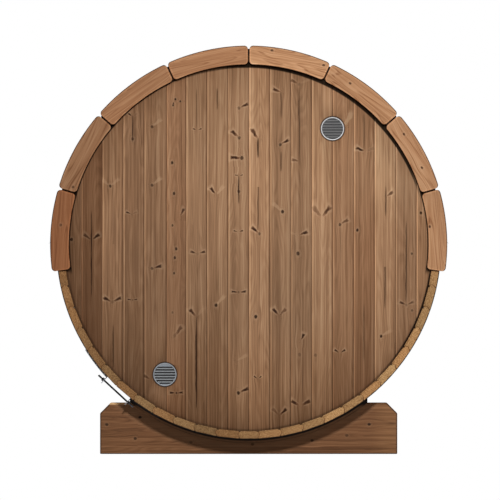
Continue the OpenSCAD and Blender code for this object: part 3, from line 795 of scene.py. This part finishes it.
def board_loop(x0, x1, out, inner, groove=True, tongue=True):
    """Outline of a board seen from its end, as (across, depth towards the weather)."""
    a = x0 + BOARD_GAP / 2
    b = x1 - BOARD_GAP / 2
    middle = (out + inner) / 2
    half = TONGUE_T / 2
    slot = half + 0.0005
    ease = 0.004
    points = [(a, out - 0.0055), (a + 0.0008, out - 0.0034), (a + 0.0034, out - 0.0015), (a + 0.0096, out)]
    points += [(b - 0.0100, out), (b - 0.0040, out - 0.0004), (b - 0.0014, out - 0.0013)]
    points += [(b - 0.0002, out - 0.0034), (b, out - 0.0055)]
    if tongue:
        tip = x1 + TONGUE_L - 0.002
        points += [(b, middle + half), (tip, middle + half), (tip, middle - half), (b, middle - half)]
    points += [(b, inner + ease), (b - ease, inner), (a + ease, inner), (a, inner + ease)]
    if groove:
        deep = x0 + TONGUE_L
        points += [(a, middle - slot), (deep, middle - slot), (deep, middle + slot), (a, middle + slot)]
    return points


def board_edge(plank, face):
    """Marks the eased arrises: a painted highlight on the left one's flatter face, painted shade on the
    rest.
    """
    front = abs(face.normal.y)
    if plank.is_end(face) or front < 0.10 or front > 0.9995:
        return 0.0
    if face.normal.dot(plank.across) < 0:
        return 0.7 if front > 0.55 else -0.2
    return -0.10 if front > 0.985 else -0.26


def wall_board(k, low, high, end, knots, piths, tone, warm):
    """Board k of an end wall, from low to high over the axis, its ends cut round to sit in the staves."""
    x0 = k * BOARD_W if k > -BOARD_N else -R_WALL + OUTER_GAP
    x1 = (k + 1) * BOARD_W if k < BOARD_N - 1 else R_WALL - OUTER_GAP
    if end < 0:
        x0 += JOINT_SHIFT.get(k, 0.0)
        x1 += JOINT_SHIFT.get(k + 1, 0.0)
    outline = board_loop(x0, x1, WALL_OUT, WALL_IN, k > -BOARD_N, k < BOARD_N - 1)
    plank = Plank(((k + 0.5) * BOARD_W, end * WALL_OUT, AXIS), X_WAY, Z_WAY, knots, piths, tone, warm)
    rows = [[], []]
    for x, out in outline:
        arc = math.sqrt(max(R_WALL ** 2 - x ** 2, 0.0004))
        rows[0].append((x, end * out, AXIS + max(low, -arc)))
        rows[1].append((x, end * out, AXIS + min(high, arc)))
    return plank.skin(rows)


def board_reach(k):
    """How far board k of a wall runs above the axis."""
    return math.sqrt(max(R_WALL ** 2 - ((k + 0.5) * BOARD_W) ** 2, 0.01))


def back_board(k):
    piths = BACK_PITH.get(k, [])
    if k in CHANCE_PITH:
        reach = board_reach(k)
        shift = dice.uniform(-0.006, 0.006)
        piths = [(shift, -reach * dice.uniform(0.2, 0.9), reach * dice.uniform(0.1, 0.8), 0.35)]
    piths = piths + BACK_CRACK.get(k, [])
    return wall_board(k, -FULL, FULL, -1, BACK_KNOTS[k], piths, BACK_TONE[k], BACK_WARM.get(k, 0.0))


def chance_board(k, low, high):
    bottom = max(low, -board_reach(k))
    top = min(high, board_reach(k))
    knots = chance_whorls(bottom, top, 0.30, BOARD_W)
    piths = []
    if dice.random() < 0.6 and top - bottom > 0.5:
        start = dice.uniform(bottom, top - 0.4)
        shift = dice.uniform(-0.006, 0.006)
        piths = [(shift, start, start + dice.uniform(0.25, 0.8), dice.uniform(0.3, 0.9))]
    return wall_board(k, low, high, 1, knots, piths, dice.uniform(0.86, 1.10), dice.uniform(0.0, 0.5))


def bore(piece, x, z, radius):
    """Cuts a round hole through a piece along Y."""
    bpy.ops.mesh.primitive_cylinder_add(vertices=64, radius=radius, depth=0.4, location=(x, -WALL_OUT, z),
                                        rotation=(math.pi / 2, 0, 0))
    cutter = bpy.context.object
    change = piece.modifiers.new("bore", "BOOLEAN")
    change.object = cutter
    change.operation = "DIFFERENCE"
    change.solver = "EXACT"
    ready = bpy.context.evaluated_depsgraph_get()
    solved = piece.evaluated_get(ready)
    made = bpy.data.meshes.new_from_object(solved, preserve_all_data_layers=True, depsgraph=ready)
    piece.modifiers.clear()
    piece.data = made
    bpy.data.objects.remove(cutter)


wall_skin = [WALL_WOOD, BOARD_END]
sleeve_low, sleeve_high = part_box("upper_vent_sleeve")
walls = {}
for node, numbers in (("back_wall_left", range(-BOARD_N, 0)), ("back_wall_right", range(0, BOARD_N))):
    planks = [back_board(k) for k in numbers]
    walls[node] = write_planks(node + "_boards", planks, wall_skin, node, board_edge)
for node, vent in (("back_wall_right", "upper_vent"), ("back_wall_left", "lower_vent")):
    bore(walls[node], *vent_place(vent), (sleeve_high[0] - sleeve_low[0]) / 2 + CLEARANCE)

door_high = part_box("door_head")[1]
DOOR_K = round(door_high[0] / BOARD_W)
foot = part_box("door_sill")[0][2] - AXIS - CLEARANCE
head = door_high[2] - AXIS + CLEARANCE
for node, numbers, low, high in (
        ("front_wall_left", range(-BOARD_N, -DOOR_K), -FULL, FULL),
        ("front_wall_right", range(DOOR_K, BOARD_N), -FULL, FULL),
        ("front_wall_over_door", range(-DOOR_K, DOOR_K), head, FULL),
        ("front_wall_under_door", range(-DOOR_K, DOOR_K), -FULL, foot)):
    planks = [chance_board(k, low, high) for k in numbers]
    write_planks(node + "_boards", planks, wall_skin, node, board_edge)


# Staves

def stave_loop(angle, low_bead, high_bead):
    """Outline of the end of a stave at the bottom of the barrel. An edge without a bead has a cove."""
    c = STAVE_CHAMFER
    half = angle / 2

    def side(r):
        return r * math.tan(half)

    def joint(has_bead):
        # Points up the right-hand joint from the outer face to the inner one
        sign = 1 if has_bead else -1
        centre = turned(sign * (BEAD_H - BEAD_R), -R_MID, Matrix.Rotation(half, 2))
        reach = sign * math.acos((BEAD_R - BEAD_H) / BEAD_R)
        spin = half if has_bead else half + math.pi
        points = [(side(R_OUT) - c, -R_OUT), (side(R_OUT - c), c - R_OUT)]
        points += arc_points(centre, BEAD_R, spin - reach, spin + reach, 10)
        return points + [(side(R_IN + c), -R_IN - c), (side(R_IN) - c, -R_IN)]

    return joint(high_bead) + [(-x, y) for x, y in reversed(joint(low_bead))]


def stave(turn, angle, low_bead, high_bead, flip=1):
    """One stave, turned round the axis from straight down. Grooves take the end walls."""
    loop = stave_loop(angle, low_bead, high_bead)
    spin = Matrix.Rotation(turn, 2)
    ease = 0.0022
    groove_out = -WALL_OUT - HAIR
    groove_in = -WALL_IN + HAIR
    # Each level is (place along the stave, whether it is grooved, how far it is drawn in)
    levels = [(-HALF_L, False, ease), (-HALF_L + ease, False, 0), (groove_out, False, 0),
              (groove_out, True, 0), (groove_in, True, 0), (groove_in, False, 0)]
    levels += [(-y, grooved, inset) for y, grooved, inset in reversed(levels)]
    rows = []
    for y, grooved, inset in levels:
        row = []
        for a, r in loop:
            if grooved:
                r = min(r, -R_IN - CROZE)
            if inset:
                a *= 1 - inset / 0.05
                r = -R_MID + (r + R_MID) * (1 - inset / 0.02)
            p = turned(a, r, spin)
            row.append((flip * p.x, y, AXIS + p.y))
        rows.append(row)
    knots = chance_whorls(-HALF_L, HALF_L, 0.34, STAVE_W, 0.9)
    piths = []
    if dice.random() < 0.5:
        start = dice.uniform(-HALF_L, HALF_L - 0.7)
        piths = [(dice.uniform(-0.01, 0.01), start, start + dice.uniform(0.3, 0.9), dice.uniform(0.25, 0.7))]
    # Painted light: the ends at the right are painted paler than those at the left
    to_right = min(max(flip * math.sin(turn) / 0.34 + 0.1, 0.0), 1.0)
    tone = dice.uniform(0.90, 1.10)
    warm = dice.uniform(0.0, 0.45) + 0.05 * (1 - to_right)
    end_tone = (1.7 * tone - 0.7) * (0.62 + 0.37 * to_right)
    outward = turned(0, -R_OUT, spin)
    tangent = turned(1, 0, spin)
    plank = Plank((flip * outward.x, 0, AXIS + outward.y), (flip * tangent.x, 0, tangent.y), Y_WAY,
                  knots, piths, tone, warm, end_tone)
    return plank.skin(rows)


def stave_edge(plank, face):
    """Dark joints between staves, and painted shade on the eased edges round their ends."""
    endways = abs(face.normal.dot(plank.along))
    sideways = abs(face.normal.dot(plank.across))
    if plank.is_end(face):
        return 0.0
    if endways > 0.25:
        return -0.85 if abs(face.normal.dot(plank.depth)) > sideways else -0.4
    return -0.35 if sideways > 0.3 else 0.0


def side_staves(first, last, flip):
    turns = [KEY_A / 2 + STAVE_A * (k - 0.5) for k in range(first, last + 1)]
    return [stave(turn, STAVE_A, False, True, flip) for turn in turns]


# Where the groups of staves end, as shares of the round that are counted up one side
FLOOR_SHARE = 0.1
LOWER_SHARE = 0.25
UPPER_SHARE = 0.385
floor_n = round(STAVE_N * FLOOR_SHARE)
lower_n = round(STAVE_N * LOWER_SHARE)
upper_n = round(STAVE_N * UPPER_SHARE)
closing_turn = KEY_A / 2 + STAVE_A * (RIGHT_N + 0.5)
stave_groups = {
    "floor_staves": [stave(0, KEY_A, True, True)] + side_staves(1, floor_n, 1) + side_staves(1, floor_n, -1),
    "left_lower_staves": side_staves(floor_n + 1, lower_n, -1),
    "right_lower_staves": side_staves(floor_n + 1, lower_n, 1),
    "left_upper_staves": side_staves(lower_n + 1, upper_n, -1),
    "right_upper_staves": side_staves(lower_n + 1, upper_n, 1),
    "crown_staves": [stave(closing_turn, STAVE_A, False, False)] + side_staves(upper_n + 1, RIGHT_N, 1)
    + side_staves(upper_n + 1, LEFT_N, -1),
}
for node, planks in stave_groups.items():
    write_planks(node + "_timber", planks, [STAVE_WOOD, STAVE_END], node, stave_edge)


# Trim boards

# Knots on the back trim, counted from the top to each side, each placed along the board and across it
TRIM_KNOTS = {(1, 0): [dot(-0.096, 0.026, 0.9, 0.9), dot(0.183, 0.008, 0.9, 0.9)],
              (1, 1): [dot(-0.079, 0.002, 0.8, 0.9)],
              (1, 2): [dot(-0.115, -0.001, 0.9, 0.9), dot(0.083, -0.003, 0.9, 0.9)],
              (1, 3): [dot(-0.024, -0.038, 0.9, 0.9)],
              (-1, 2): [dot(-0.177, -0.040, 0.8, 0.9)],
              (-1, 3): [dot(0.03, -0.002, 0.7, 0.9)]}
# Trim board tones: each board's own tone, with painted shade that darkens the left side and the boards lower
# down
TRIM_TONE = {(-1, 0): 0.89, (-1, 1): 0.79, (-1, 2): 0.60, (-1, 3): 0.55,
             (1, 0): 1.18, (1, 1): 1.0, (1, 2): 0.96, (1, 3): 0.92}
TRIM_WARM = {(-1, 3): 0.75, (1, 0): 0.0}


def trim_outline(inset):
    """The rounded outline of a trim board around straight up, drawn in by inset, from the arch's middle."""
    half = TRIM_A / 2
    steps = 22
    up = math.pi / 2
    corner = TRIM_CORNER - inset
    side = TRIM_GAP / 2 + TRIM_CORNER
    lo = TRIM_RO - TRIM_CORNER
    li = TRIM_RI + TRIM_CORNER
    co = half - math.asin(side / lo)
    ci = half - math.asin(side / li)
    points = arc_points((0, 0), TRIM_RO - inset, up + co, up - co, steps)
    points += arc_points((lo * math.sin(co), lo * math.cos(co)), corner, up - co, -half, 7)[1:]
    points += arc_points((li * math.sin(ci), li * math.cos(ci)), corner, -half, -up - ci, 7)
    points += arc_points((0, 0), TRIM_RI + inset, up - ci, up + ci, steps)[1:-1]
    points += arc_points((-li * math.sin(ci), li * math.cos(ci)), corner, ci - up, half - math.pi, 7)
    points += arc_points((-lo * math.sin(co), lo * math.cos(co)), corner, math.pi + half, up + co, 7)[:-1]
    return points


def trim_board(turn, end, knots, tone, warm):
    """One trim board, turned clockwise from the top as seen from the back, with a rounded outer edge."""
    spin = Matrix.Rotation(-turn, 2)
    ease = 0.0015
    rings = [(ease, 0.0), (0.0, ease), (0.0, TRIM_T - TRIM_ROUND)]
    for i in range(1, 6):
        a = math.pi / 2 * i / 5
        rings.append((TRIM_ROUND * (1 - math.cos(a)), TRIM_T - TRIM_ROUND * (1 - math.sin(a))))
    rows = []
    for inset, depth in rings:
        points = [turned(x, y, spin) for x, y in trim_outline(inset)]
        rows.append([(p.x, end * (HALF_L + depth), AXIS + TRIM_LIFT + p.y) for p in points])
    up = turned(0, 1, spin)
    along = turned(1, 0, spin)
    middle = (TRIM_RO + TRIM_RI) / 2
    origin = (up.x * middle, end * HALF_L, AXIS + TRIM_LIFT + up.y * middle)
    return Plank(origin, (up.x, 0, up.y), (along.x, 0, along.y), knots, (), tone, warm).skin(rows)


def trim_edge(plank, face):
    """Painted shade on the rounded outer edge, and a painted highlight on the inner edge and the ends."""
    if not 0.05 <= abs(face.normal.y) <= 0.995:
        return 0.0
    return -0.75 if face.normal.dot(plank.across) > 0.2 else 0.5


for end, where in ((-1, "back"), (1, "front")):
    for side, hand in ((-1, "left"), (1, "right")):
        planks = []
        for i in range(TRIM_COUNT // 2):
            if end < 0:
                knots = TRIM_KNOTS.get((side, i), ())
                tone = TRIM_TONE[(side, i)]
                warm = TRIM_WARM.get((side, i), dice.uniform(0.05, 0.3))
            else:
                knots = chance_whorls(-0.2, 0.2, 0.3, TRIM_W, 0.8)
                tone = dice.uniform(0.92, 1.06)
                warm = dice.uniform(0.05, 0.3)
            planks.append(trim_board(side * TRIM_A * (i + 0.5), end, knots, tone, warm))
        name = where + "_trim_" + hand
        write_planks(name + "_boards", planks, [TRIM_WOOD], name, trim_edge)


# Cradles

# Knots on the back cradle: place to the right, height and strength
CRADLE_KNOTS = [(-0.738, 0.153, 0.9), (-0.565, 0.191, 1.0), (-0.59, 0.080, 0.9), (-0.30, 0.06, 0.6),
                (0.02, 0.05, 0.7), (0.33, 0.07, 0.9), (0.51, 0.096, 0.6), (0.627, 0.154, 1.0)]


def cradle_edge(_plank, face):
    """Eased arrises are dark, and the top arris at the left carries a painted highlight."""
    if not 0.1 < abs(face.normal.y) < 0.97:
        return 0.0
    return 0.9 if face.normal.z > 0.3 and face.calc_center_median().x < -0.5 else -0.8


def cradle(node, hand):
    low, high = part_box(node)
    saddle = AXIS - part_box(node + "_pad")[0][2] - 0.001
    x = high[0]
    top = high[2]
    reach = math.sqrt(saddle ** 2 - (AXIS - top) ** 2)
    steps = 40
    outline = [(-x, 0), (x, 0), (x, top - CRADLE_CHAMFER), (x - CRADLE_CHAMFER, top)]
    for i in range(steps + 1):
        px = reach - 2 * reach * i / steps
        outline.append((px, AXIS - math.sqrt(saddle ** 2 - px ** 2)))
    outline += [(CRADLE_CHAMFER - x, top), (-x, top - CRADLE_CHAMFER)]
    knots = [dot(hand * px, z, force) for px, z, force in CRADLE_KNOTS]
    plank = Plank((0, low[1], 0), Z_WAY, X_WAY, knots, (), 0.80, 0.3)
    plank.skin([[(px, y, pz) for px, pz in outline] for y in (low[1], high[1])])
    sharp = [e for e in plank.mesh.edges if len(e.link_faces) == 2 and e.calc_face_angle(0.0) > 0.5]
    plank.ease(sharp, 0.0045)
    bmesh.ops.recalc_face_normals(plank.mesh, faces=plank.mesh.faces)
    write_planks(node + "_timber", [plank], [CRADLE_WOOD, BOARD_END], node, cradle_edge)


cradle("back_cradle", 1)
cradle("front_cradle", -1)


# Metal pieces, built from rings and lofts

class Solid:
    """Gathers closed shapes, each with a material slot, into one piece."""

    def __init__(self):
        self.mesh = bmesh.new()

    def loft(self, rows, slot=0, caps=True):
        made = loft(self.mesh, rows, caps)
        for face in made:
            face.material_index = slot
        return made

    def spin(self, profile, place, slot=0, steps=48, caps=True):
        """Turns (radius, height) points round the height axis. Without caps the profile closes on itself."""
        rows = [[place @ Vector((x, y, h)) for x, y in circle(r, steps)] for r, h in profile]
        self.loft(rows, slot, caps)

    def write(self, name, materials, node):
        bmesh.ops.recalc_face_normals(self.mesh, faces=self.mesh.faces)
        write_piece(name, self.mesh, materials, node, METAL_SMOOTH)


def axes(origin, x, y, z):
    """A placing whose columns are the three directions."""
    made = Matrix((x, y, z)).transposed().to_4x4()
    made.translation = Vector(origin)
    return made


def vent(node, rim, blade, screen, half, slope, slats, drop=0.0, blank=None):
    """A round grille: a rolled rim, slanted slats with rounded edges, and a disc behind them, a screen in
    grey and painted shade in near black.

    Drop sets the slats lower, and past blank the top and the bottom are closed by plates.
    """
    x, z = vent_place(node)
    place = axes((x, -WALL_OUT, z), X_WAY, Z_WAY, (0, -1, 0))
    inner = VENT_R - VENT_RIM
    lip = VENT_R - 0.0016
    back = 0.0004
    body = Solid()
    # The outer flange is black, a painted shadow round the rim
    flange = [(lip - 0.001, back), (VENT_R, back), (VENT_R, 0.0022), (lip - 0.001, 0.0022)]
    body.spin(flange, place, 3, 72, False)
    roll = [(inner, back), (lip, back), (lip, 0.0040), (lip - 0.0008, 0.0064), (lip - 0.0022, 0.0084)]
    roll += [(lip - 0.0034, 0.0090), (inner + 0.0014, 0.0087), (inner + 0.0004, 0.0074), (inner, 0.0050)]
    body.spin(roll, place, 0, 72, False)
    pitch = 2 * inner / (SLATS + 0.8)
    cosine = math.cos(math.radians(slope))
    sine = math.sin(math.radians(slope))
    for i in range(slats):
        y = (i - (slats - 1) / 2) * pitch - drop
        reach = math.sqrt(max(inner ** 2 - (abs(y) + half) ** 2, 0.0001)) + 0.0008
        section = [(c + (half if c > 0 else -half), w) for c, w in circle(0.0009, 12)]
        section = [(y + u * cosine + w * sine, 0.0042 - u * sine + w * cosine) for u, w in section]
        body.loft([[place @ Vector((side * reach, v, h)) for v, h in section] for side in (-1, 1)], 1)
    body.spin([(inner + 0.001, 0.0005), (inner + 0.001, 0.0009)], place, 2)
    for start, sign in ((blank - drop, 1), (blank + drop, -1)) if blank else ():
        half_arc = math.acos(start / inner)
        chord = arc_points((0, 0), inner + 0.0006, math.pi / 2 - half_arc, math.pi / 2 + half_arc, 16)
        body.loft([[place @ Vector((u, sign * v, h)) for u, v in chord] for h in (0.0040, 0.0066)], 4)
    body.write(node + "_grille", [rim, blade, screen, BLACK_STEEL, PLATE], node)


vent("upper_vent", ALUMINIUM, DARK_METAL, SCREEN, 0.0036, 42, SLATS)
# The lower vent's near black disc is painted shade for the opening behind its slats
vent("lower_vent", ZINC, GREY_METAL, PAINTED_SHADE_DISC, 0.0022, 24, SLATS - 1, 0.004, 0.0445)


def tension_rod(node, y):
    """Threaded rod with a nut and a washer outside each ear."""
    turn = math.radians(TENSION_ANGLE)
    out = Vector((-math.cos(turn), 0, -math.sin(turn)))
    along = Vector((-math.sin(turn), 0, math.cos(turn)))
    place = axes(Vector((0, y, AXIS)) + out * (R_OUT + ROD_RISE), out, out.cross(along), along)
    body = Solid()
    steps = 14
    rows = []
    for i in range(int(ROD_L / ROD_PITCH * 4) + 1):
        h = -ROD_L / 2 + i * ROD_PITCH / 4
        ease = min(1.0, (ROD_L / 2 - abs(h)) / 0.002)
        row = []
        for j in range(steps):
            phase = (h / ROD_PITCH - j / steps) % 1.0
            r = ROD_D / 2 * (0.86 + 0.14 * abs(2 * phase - 1)) * (0.8 + 0.2 * ease)
            a = 2 * math.pi * j / steps
            row.append(place @ Vector((r * math.cos(a), r * math.sin(a), h)))
        rows.append(row)
    # Painted light: the lower end takes the lighter steel
    bare = int((ROD_L / 2 - EAR_X) / ROD_PITCH * 4)
    for face in body.loft(rows)[:bare * steps]:
        face.material_index = 1
    for s in (-1, 1):
        seat = s * (EAR_X + EAR_T + HAIR)
        low = seat + s * 0.002
        high = low + s * ROD_D * 0.8
        washer = [(0.52, seat), (0.96, seat), (1.0, seat + s * 0.0004)]
        washer += [(1.0, seat + s * 0.0016), (0.96, low), (0.52, low)]
        nut = [(0.84, low), (0.95, low + s * 0.0008), (0.95, high - s * 0.0008), (0.84, high)]
        body.spin([(ROD_D * r, h) for r, h in washer], place, 0, 32, False)
        body.spin([(ROD_D * r, h) for r, h in nut], place, 0, 6)
    body.write(node + "_threaded", [ROD_STEEL, EAR_STEEL], node)


tension_rod("back_tension_rod", BAND_Y)
tension_rod("front_tension_rod", -BAND_Y)


def band(node):
    """The steel strap, open at the tensioner, so tight that it fills the flats and notches of the staves."""
    low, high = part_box(node)
    outer = (high[2] - low[2]) / 2
    inner = R_OUT - STRAP_FILL
    middle = math.pi + math.radians(TENSION_ANGLE)
    gap = math.asin(EAR_X / outer)
    steps = 180
    rows = []
    for i in range(steps + 1):
        a = middle + gap + (2 * math.pi - 2 * gap) * i / steps
        section = ((inner, low[1]), (outer, low[1]), (outer, high[1]), (inner, high[1]))
        rows.append([(r * math.cos(a), y, AXIS + r * math.sin(a)) for r, y in section])
    body = Solid()
    body.loft(rows)
    body.write(node + "_strap", [BLACK_STEEL], node)


band("back_band")
band("front_band")


# Roof: a smooth layer of felt under courses of felt tabs

def roof_point(angle, inset):
    """A point of the roof's section at an angle round the axis, inset from its outer face."""
    r = FELT_RO - inset
    reach = TRIM_LIFT * math.sin(angle) + math.sqrt(r ** 2 - (TRIM_LIFT * math.cos(angle)) ** 2)
    return reach * math.cos(angle), reach * math.sin(angle)


def roof_plank(section, y0, y1, tone):
    x, z = section[0]
    plank = Plank((x, 0, AXIS + z), (-z, 0, x), Y_WAY, tone=tone)
    return plank.skin([[(px, y, AXIS + pz) for px, pz in section] for y in (y0, y1)])


def felt_tab(low, high, y0, y1, start, end):
    """A tab of felt from angle low to high. Its face sinks from start to end below the roof's outer face."""
    shares = [i / 4 for i in range(5)]
    outer = [roof_point(low + (high - low) * t, start + (end - start) * t) for t in shares]
    inner = [roof_point(low + (high - low) * t, FELT_T) for t in reversed(shares)]
    return roof_plank(outer + inner, y0, y1, dice.uniform(0.8, 1.2))


def tab_spans(start, slit):
    """The ends of the tabs of one course along the roof, with a slit between neighbours."""
    spans = []
    while start < ROOF_HALF - 0.02:
        spans.append((max(start, -ROOF_HALF), min(start + TAB_L - slit, ROOF_HALF)))
        start += TAB_L
    return spans


def felt_edge(_plank, face):
    """Cut edges show bare bitumen."""
    place = face.calc_center_median()
    up = Vector((place.x, 0, place.z - AXIS)).normalized()
    return 0.8 if abs(face.normal.dot(up)) < 0.5 else 0.0


eave = math.radians(EAVE_ANGLE)
base = [roof_point(eave + (math.pi - 2 * eave) * i / 72, BASE_SINK) for i in range(73)]
under = arc_points((0, 0), FELT_RI, eave, math.pi - eave, 72)
roof = [roof_plank(base + under[::-1], -ROOF_HALF, ROOF_HALF, 0.7)]
course = (math.pi / 2 - eave) / (COURSE_N + 0.5)
for j in range(COURSE_N):
    low = eave + course * j
    high = low + course * 1.35
    spans = tab_spans(-ROOF_HALF - (0.5 * TAB_L if j % 2 else 0.0), 0.005)
    roof += [felt_tab(low, high, y0, y1, TAB_TOP, TAB_SINK) for y0, y1 in spans]
    low = math.pi - low
    high = math.pi - high
    roof += [felt_tab(low, high, y0, y1, TAB_TOP, TAB_SINK) for y0, y1 in spans]
ridge = course * 0.85
for y0, y1 in tab_spans(-ROOF_HALF, 0.004):
    roof.append(felt_tab(math.pi / 2 - ridge, math.pi / 2 + ridge, y0, y1, HAIR, HAIR))
write_planks("roof_felt_courses", roof, [FELT], "roof_felt", felt_edge)


# Door: framed, boarded and ledged

def beam(low, high, along, tone, bevel=0.003, knots=True):
    """A square-edged timber between two corners, its arrises eased. Along is 0, 1 or 2 for X, Y or Z."""
    ways = (X_WAY, Y_WAY, Z_WAY)
    wide = 0 if along == 2 else 2
    half = (high[along] - low[along]) / 2
    found = chance_whorls(-half, half, 0.34, high[wide] - low[wide], 0.8) if knots else ()
    middle = (Vector(low) + Vector(high)) / 2
    plank = Plank(middle, ways[wide], ways[along], found, (), tone, dice.uniform(0.0, 0.35))
    corners = [(low[0], low[1]), (high[0], low[1]), (high[0], high[1]), (low[0], high[1])]
    loft(plank.mesh, [[(x, y, z) for x, y in corners] for z in (low[2], high[2])])
    plank.ease(plank.mesh.edges[:], bevel)
    return plank.tidy()


frame_skin = [TRIM_WOOD, BOARD_END]
for node in ("door_head", "door_sill"):
    write_planks(node + "_timber", [beam(*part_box(node), 0, dice.uniform(0.92, 1.0))], frame_skin, node)
leaf_low, leaf_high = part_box("door_leaf")
for node in ("door_jamb_left", "door_jamb_right"):
    # Each jamb is a post with a stop for the leaf on its inner side
    post = [list(corner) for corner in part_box(node)]
    stop = [list(corner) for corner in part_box(node)]
    inner = 1 if post[0][0] < 0 else 0
    seam = post[1][0] - STOP_W if inner else post[0][0] + STOP_W
    post[inner][0] = seam
    stop[1 - inner][0] = seam
    stop[1][1] = leaf_low[1] - CLEARANCE
    parts = [beam(*post, 2, dice.uniform(0.92, 1.0)), beam(*stop, 2, 0.95, 0.0015, False)]
    write_planks(node + "_timber", parts, frame_skin, node)

leaf_w = (leaf_high[0] - leaf_low[0]) / LEAF_N
low = leaf_low[2] - AXIS
high = leaf_high[2] - AXIS
boards = []
for i in range(LEAF_N):
    x0 = leaf_low[0] + i * leaf_w
    outline = board_loop(x0, x0 + leaf_w, leaf_high[1], leaf_low[1], i > 0, i < LEAF_N - 1)
    knots = chance_whorls(low, high, 0.3, leaf_w)
    piths = [(0.0, low + 0.3, low + 0.9, 0.5)] if i in (1, 4) else []
    plank = Plank((x0 + leaf_w / 2, leaf_high[1], AXIS), X_WAY, Z_WAY, knots, piths,
                  dice.uniform(0.92, 1.1), dice.uniform(0.0, 0.4))
    boards.append(plank.skin([[(x, y, z) for x, y in outline] for z in (leaf_low[2], leaf_high[2])]))
write_planks("door_leaf_boards", boards, wall_skin, "door_leaf", board_edge)

ledge_low, ledge_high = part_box("door_ledges")
ledges = []
for share in (0.12, 0.5, 0.88):
    z = leaf_low[2] + (leaf_high[2] - leaf_low[2]) * share
    corners = [(*ledge_low[:2], z - LEDGE_W / 2), (*ledge_high[:2], z + LEDGE_W / 2)]
    ledges.append(beam(*corners, 0, dice.uniform(0.95, 1.05), 0.004))
write_planks("door_ledges_timber", ledges, wall_skin, "door_ledges")


def turned_handle():
    """A round pull with domed ends on two turned posts."""
    low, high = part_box("door_handle")
    x = (low[0] + high[0]) / 2
    middle = (low[2] + high[2]) / 2
    half = (high[2] - low[2]) / 2
    radius = (high[0] - low[0]) / 2
    bar_y = high[1] - radius
    steps = 32
    turns = (0.15, 0.5, 0.9, 1.25, math.pi / 2)
    dome = [(radius * math.sin(a), half - radius * 0.6 * (1 - math.cos(a))) for a in turns]
    profile = [(r, -h) for r, h in dome] + dome[::-1]
    bar = Plank((x, bar_y, middle), X_WAY, Z_WAY, warm=0.2)
    parts = [bar.skin([[(x + u, bar_y + v, middle + h) for u, v in circle(r, steps)] for r, h in profile])]
    r = radius * 0.7
    shape = [(r, low[1]), (r, low[1] + 0.004), (r * 0.82, low[1] + 0.007)]
    shape += [(r * 0.78, bar_y - radius * 0.95), (r * 0.9, bar_y)]
    for z in (middle - half * 0.72, middle + half * 0.72):
        post = Plank((x, low[1], z), X_WAY, Y_WAY, tone=0.96, warm=0.2)
        parts.append(post.skin([[(x + u, y, z + v) for u, v in circle(q, steps)] for q, y in shape]))
    write_planks("door_handle_turned", parts, frame_skin, "door_handle")


turned_handle()


# Materials for the pieces that stay as the frame has them

def dress(material, *names):
    for name in names:
        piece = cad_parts[name]
        piece.data.materials.clear()
        piece.data.materials.append(material)


dress(EAR_STEEL, "back_tension_ears", "front_tension_ears")
for name in ("back_tension_ears", "front_tension_ears"):
    # The feet of the ears are black like the band
    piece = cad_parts[name]
    piece.data.materials.append(BLACK_STEEL)
    for face in piece.data.polygons:
        place = piece.matrix_world @ face.center
        if math.hypot(place.x, place.z - AXIS) < R_OUT + 0.010:
            face.material_index = 1
dress(BLACK_STEEL, "left_eave_flashing", "right_eave_flashing", "door_hinges")
dress(RUBBER, "back_cradle_pad", "front_cradle_pad")
dress(GREY_METAL, "upper_vent_sleeve", "lower_vent_sleeve")


# Floor, light and camera

def pale_floor():
    bpy.ops.mesh.primitive_plane_add(size=60, location=(0, 0, -0.0005))
    floor = bpy.context.object
    floor.name = "floor"
    s = new_shader("pale_floor")
    s.set(Base_Color=(0.65, 0.65, 0.65, 1.0), Roughness=0.9)
    x, y, _ = s.split(s.spot())
    shadow = s.fade(s.length(x, y), 1.3, 3.2) * 0.22
    white = s.wire("ShaderNodeEmission")
    lit = Wire(s, s.main.outputs[0])
    mix = s.wire("ShaderNodeMixShader", {0: s.seen() * (1.0 - shadow), 1: lit, 2: white})
    s.feed(s.tree.nodes["Material Output"].inputs["Surface"], mix)
    floor.data.materials.append(s.owner)


def surroundings(ambient):
    """A white world to the eye, which gives only the ambient share of its light."""
    world = bpy.data.worlds.new("studio")
    bpy.context.scene.world = world
    s = Shader(world, "Background")
    s.set(Color=(1, 1, 1, 1), Strength=s.seen() * (1.0 - ambient) + ambient)


def lamp(name, place, target, size, power, tint=(1, 1, 1)):
    data = bpy.data.lights.new(name, "AREA")
    data.shape = "DISK"
    data.size = size
    data.energy = power
    data.color = tint
    made = bpy.data.objects.new(name, data)
    bpy.context.collection.objects.link(made)
    made.location = place
    made.rotation_euler = (Vector(target) - Vector(place)).to_track_quat("-Z", "Y").to_euler()


pale_floor()
surroundings(0.17)
lamp("key", (1.0, -20.9, 6.9), (0.0, -0.9, 1.1), 1.5, 2960, (1.0, 0.985, 0.96))
lamp("door_side", (-2.2, 6.5, 3.4), (0, 0.9, 1.1), 1.6, 260)
lamp("side", (6.5, 0.8, 3.6), (0.9, 0, 1.1), 2.0, 150)

# The photo is square on with no perspective, so the camera is orthographic
CAMERA_X = 0.0068
CAMERA_Z = 1.061
PIXELS_PER_METRE = 192.24
IMAGE_W = 500
lens = bpy.data.cameras.new("camera")
lens.type = "ORTHO"
lens.ortho_scale = IMAGE_W / PIXELS_PER_METRE
lens.clip_end = 200
camera = bpy.data.objects.new("camera", lens)
bpy.context.collection.objects.link(camera)
camera.location = (CAMERA_X, -12.0, CAMERA_Z)
camera.rotation_euler = (math.pi / 2, 0, 0)
bpy.context.scene.camera = camera
bpy.context.scene.view_settings.view_transform = "Standard"
